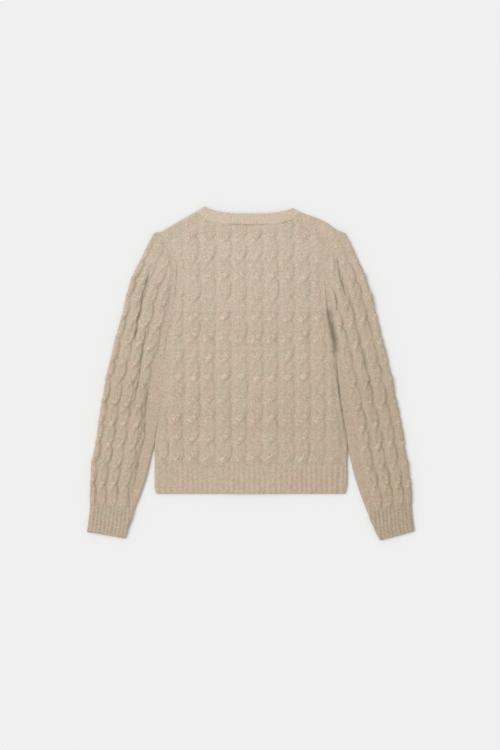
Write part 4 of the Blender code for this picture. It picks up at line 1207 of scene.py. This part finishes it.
# -------------------------------------------------------- button and buttonhole bands
# Two ribbed strips down the fronts. The buttonhole band lies lowest and is
# dimpled by the buttons that it rests on; the other lies on it, and laps over the
# edge of the left front.
BAND_LAP = 5.0
LAP_Z = RISE - WALL                       # air between the two bands
BUTTONS = 7
BUTTON_FIRST = -222.0     # Y of the lowest and of the highest button
BUTTON_LAST = 226.0
BUTTON_YS = np.linspace(BUTTON_FIRST, BUTTON_LAST, BUTTONS)
BUTTON_RADIUS = 8.5
BUTTON_THICK = 1.6
DIMPLE = 1.9              # height of the cloth over a button
STRIP_RELIEF = 0.8        # how much of the ribs' height stays where they are pressed
STRIP_ROLL = 2.5          # how wide the bands' edges roll
DIMPLE_EDGE = 6.0         # from a button's edge to its dimple's, and how wide that is
DIMPLE_SLOPE = 5.0


def strip_row(u, v):
    """A row of one of the bands, right side down."""
    y = HEM_Y + (FRONT_NECK - HEM_Y) * v
    x = (u * 2.0 - 1.0) * BAND_HALF
    points = np.stack([x, np.full(len(u), y)], axis=1)
    plain, facing, wrong = over_fold(points, (0.0, 1.0), -90.0)
    edge = over_edge(np.ones(len(u)), 0.3, BAND_HALF - np.abs(x), STRIP_ROLL)
    edge = np.minimum(edge, over_edge(1.0, 0.3, min(y - HEM_Y, FRONT_NECK - y), STRIP_ROLL))
    plain[:, 2] += STRIP_RELIEF * (1.0 - edge)
    away = np.hypot(x, np.abs(BUTTON_YS - y).min())
    dimple = ease((BUTTON_RADIUS + DIMPLE_EDGE - away) / DIMPLE_SLOPE)
    fabric = np.concatenate([points, (STRIP_RELIEF * edge)[:, None]], axis=1)
    if strip == "button":
        plain[:, 0] -= BAND_LAP
        wrong[:, 0] -= BAND_LAP
        plain[:, 2] += WALL + LAP_Z
        wrong[:, 2] += WALL + LAP_Z
    else:
        plain[:, 2] += (DIMPLE - PRESSED) * dimple
        fabric[:, 2] *= 1.0 - dimple
    return plain, facing, wrong, fabric


def strip_knit(x, y, centre=None):
    """The rib of the bands, which runs along them."""
    return band_knit(x, y, centre, RIB_HEIGHT)


for strip in ("button", "buttonhole"):
    band, area = knit_shell(strip + "_band_knit", 30, 240, strip_row, strip_knit, coarser=3)
    band.data.materials.append(body_wool)
    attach(band, "root")
    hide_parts(strip + "_band")

# ------------------------------------------------------------------- the buttons
# Seven turned four-hole buttons of pale horn-coloured plastic with a raised rim,
# each sewn through to the button band with a doubled yarn, which also binds the
# buttonhole's two edges above it.
HOLE_RADIUS = 0.85
HOLE_APART = 1.6          # from the button's middle lines to a hole's middle
HUB = 4.2                 # radius of the flat that the holes are in
FACE_Z = 0.5
THREAD = 0.26             # radius of the thread in the holes
YARN = 0.5                # and of the yarn behind them
SLIT = 10.5               # half the length of a buttonhole
SLIT_OPEN = 0.9           # and half its width in the middle
BUTTON_PROFILE = ((HUB, FACE_Z), (5.2, FACE_Z), (5.9, 0.25), (6.8, 0.02), (7.6, 0.02),
                  (8.2, 0.3), (8.5, 0.75), (8.3, 1.3), (7.8, BUTTON_THICK), (HUB, BUTTON_THICK))

horn, tree, shader = new_material("plastic_pale_horn")
place = add_node(tree, "TexCoord").outputs["Object"]
stretched = add_node(tree, "Mapping", _0=place, Scale=(1.0, 0.35, 1.0))
cloudy = add_node(tree, "TexNoise", Vector=stretched.outputs[0], Scale=160.0, Detail=3.0,
                  Distortion=1.5)
tone = ramp(tree, cloudy.outputs["Fac"], (0.35, "86694a"), (0.7, "b99b75"))
tree.links.new(tone, shader.inputs["Base Color"])
shader.inputs["Roughness"].default_value = 0.32
shader.inputs["Coat Weight"].default_value = 0.2
yarn_thread, tree, shader = new_material("wool_sewing_yarn")
place = add_node(tree, "TexCoord").outputs["Object"]
twist = add_node(tree, "TexNoise", Vector=place, Scale=1500.0, Detail=2.0)
tone = ramp(tree, twist.outputs["Fac"], (0.0, "a8967d"), (1.0, "d9c8b0"))
tree.links.new(tone, shader.inputs["Base Color"])
fuzz = add_node(tree, "Bump", Strength=0.5, Distance=0.0002, Height=twist.outputs["Fac"])
tree.links.new(fuzz.outputs[0], shader.inputs["Normal"])
shader.inputs["Roughness"].default_value = 0.95


def ring(bm, x, y, z, radius, segments):
    """The edges of a circle."""
    at = Matrix.Translation((x, y, z))
    made = bmesh.ops.create_circle(bm, cap_ends=False, radius=radius, segments=segments, matrix=at)
    return list({edge for vert in made["verts"] for edge in vert.link_edges})


def own_piece(name, bm, material):
    """A piece from a bmesh in millimetres of the tables."""
    bmesh.ops.transform(bm, matrix=Matrix.Scale(MM, 4) @ Matrix.Translation(SHIFT), verts=bm.verts)
    mesh = bpy.data.meshes.new(name)
    bm.to_mesh(mesh)
    bm.free()
    mesh.materials.append(material)
    mesh.shade_smooth()
    mesh.set_sharp_from_angle(angle=math.radians(40))
    piece = in_scene(name, mesh)
    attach(piece, "root")
    return piece


HOLES = [(x * HOLE_APART, y * HOLE_APART) for x in (-1, 1) for y in (-1, 1)]
for i, y in enumerate(BUTTON_YS):
    bm = bmesh.new()
    verts = [bm.verts.new((radius, y, z)) for radius, z in BUTTON_PROFILE]
    edges = [bm.edges.new(pair) for pair in zip(verts, verts[1:])]
    bmesh.ops.spin(bm, geom=verts + edges, cent=(0, y, 0), axis=(0, 0, 1),
                   angle=2 * math.pi, steps=48, use_merge=True)
    walls = []
    for z in (FACE_Z, BUTTON_THICK):
        rims = [ring(bm, hole_x, y + hole_y, z, HOLE_RADIUS, 12) for hole_x, hole_y in HOLES]
        hub = ring(bm, 0.0, y, z, HUB, 48)
        bmesh.ops.triangle_fill(bm, use_beauty=True, edges=hub + [e for rim in rims for e in rim])
        walls.append(rims)
    for low, high in zip(*walls):
        bmesh.ops.bridge_loops(bm, edges=low + high)
    bmesh.ops.remove_doubles(bm, verts=bm.verts, dist=0.01)
    bmesh.ops.recalc_face_normals(bm, faces=bm.faces)
    button = own_piece("button_" + str(i + 1) + "_turned", bm, horn)
    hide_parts("button_" + str(i + 1))


def stitch(bm, start, end, thick):
    """One stitch of yarn from place to place, of that radius."""
    start, end = Vector(start), Vector(end)
    run = end - start
    turn = run.to_track_quat("X", "Z").to_matrix().to_4x4()
    size = Matrix.Diagonal((run.length / 2 + thick * 0.3, thick, thick, 1.0))
    bmesh.ops.create_icosphere(bm, subdivisions=2, radius=1.0,
                               matrix=Matrix.Translation((start + end) / 2) @ turn @ size)


bm = bmesh.new()
for y in BUTTON_YS:
    for side_x in (-1, 1):
        for strand in (-0.3, 0.3):
            x = side_x * HOLE_APART + strand
            stitch(bm, (x, y - HOLE_APART - 0.4, 0.3), (x, y + HOLE_APART + 0.4, 0.3), THREAD)
        for side_y in (-1, 1):
            x = side_x * HOLE_APART
            stitch(bm, (x, y + side_y * HOLE_APART, 0.3), (x * 0.6, y + side_y, WALL + 0.6), YARN)
    for edge in (-1, 1):
        for step in np.linspace(-SLIT, SLIT, 15):
            gap = SLIT_OPEN * math.cos(step / SLIT * math.pi / 2)
            stitch(bm, (edge * (gap + 0.2), y + step, DIMPLE + 0.3),
                   (edge * (gap + 2.0), y + step, DIMPLE + 0.1), YARN)
own_piece("button_sewing", bm, yarn_thread)

# ------------------------------------------------------------------------- seams
# The linking of the neckband and of the shoulders, and the fashioning marks, where
# stitches were moved inwards to shape the shoulders: all in the knitting yarn.
LINK = 3.35               # one linked loop for each course or wale
LINK_THICK = 0.55
LINK_SUNK = 0.45
MARK_THICK = 0.75
MARK_SUNK = 0.3


def chain(bm, points):
    """Linked loops along a line in plan, sunk in the cloth as it lies there."""
    points = np.array(points)
    steps = np.linalg.norm(np.diff(points[:, :2], axis=0), axis=1)
    places = np.concatenate([[0.0], np.cumsum(steps)])
    count = int(places[-1] / LINK)
    at = np.linspace(0.0, places[-1], count + 1)
    line = np.stack([np.interp(at, places, points[:, k]) for k in (0, 1)], axis=1)
    z = lie(line[:, 0], line[:, 1]) - LINK_SUNK
    for a, b, low, up in zip(line, line[1:], z, z[1:]):
        stitch(bm, (*a, low), (*b, up), LINK_THICK)


bm = bmesh.new()
chain(bm, [back_neck("seam", t) for t in np.linspace(-1.0, 1.0, 81)])
own_piece("neckband_linking", bm, yarn_thread)

bm = bmesh.new()
for which in ("left", "right"):
    x = NECK_X[which]
    start = np.array([x, float(band_seam_y(x))])
    end = np.array([side(which, SHOULDER_Y), SHOULDER_Y])
    chain(bm, [start, end])
own_piece("shoulder_linking", bm, yarn_thread)

bm = bmesh.new()
for which, marks in (("left", ((-157.0, 282.0), (-149.5, 276.0), (-166.0, 270.0), (-177.0, 257.0),
                               (-139.0, 288.5), (-127.0, 293.0), (-115.0, 299.5), (-104.0, 305.5))),
                     ("right", ((96.0, 303.4), (105.0, 299.2), (115.0, 294.8), (129.0, 286.4),
                                (134.0, 277.4), (143.8, 271.0), (152.0, 268.0)))):
    for x, y in marks:
        z = float(lie(np.float64(x), np.float64(y))) - MARK_SUNK
        for lean in (-1.0, 1.0):
            stitch(bm, (x, y - 1.4, z), (x + lean * 1.3, y + 1.6, z), MARK_THICK)
own_piece("fashioning_marks", bm, yarn_thread)

# ---------------------------------------------------------------- floor and light
# A white seamless surface in a white room, one wide soft lamp from the left and a
# little from the top, and a camera straight above, with 2 mm to a pixel.
PIXEL = 0.002
PICTURE_HEIGHT = 750      # pixels
CAMERA_X = -0.001         # the middle of the picture
CAMERA_Y = -0.0036
CAMERA_LENS = 85.0
SENSOR = 36.0
bpy.ops.mesh.primitive_plane_add(size=40.0, location=(0.0, 0.0, 0.0))
floor = bpy.context.object
floor.name = "floor"
paper, tree, shader = new_material("paper_white_seamless")
shader.inputs["Base Color"].default_value = linear("f4f4f4")
shader.inputs["Roughness"].default_value = 0.9
shader.inputs["Specular IOR Level"].default_value = 0.0
floor.data.materials.append(paper)

world = bpy.data.worlds.new("studio")
world.use_nodes = True
world.node_tree.nodes["Background"].inputs["Color"].default_value = (1.0, 1.0, 1.0, 1.0)
world.node_tree.nodes["Background"].inputs["Strength"].default_value = 0.64
bpy.context.scene.world = world

lamp = bpy.data.lights.new("softbox", "SUN")
lamp.energy = 1.25
lamp.angle = math.radians(35.0)
softbox = in_scene("softbox", lamp)
softbox.rotation_euler = (math.radians(-12.0), math.radians(-34.0), 0.0)

camera_data = bpy.data.cameras.new("camera")
camera_data.lens = CAMERA_LENS
camera_data.sensor_width = SENSOR
camera = in_scene("camera", camera_data)
camera.location = (CAMERA_X, CAMERA_Y, PICTURE_HEIGHT * PIXEL * CAMERA_LENS / SENSOR)
bpy.context.scene.camera = camera
bpy.context.scene.view_settings.view_transform = "Standard"
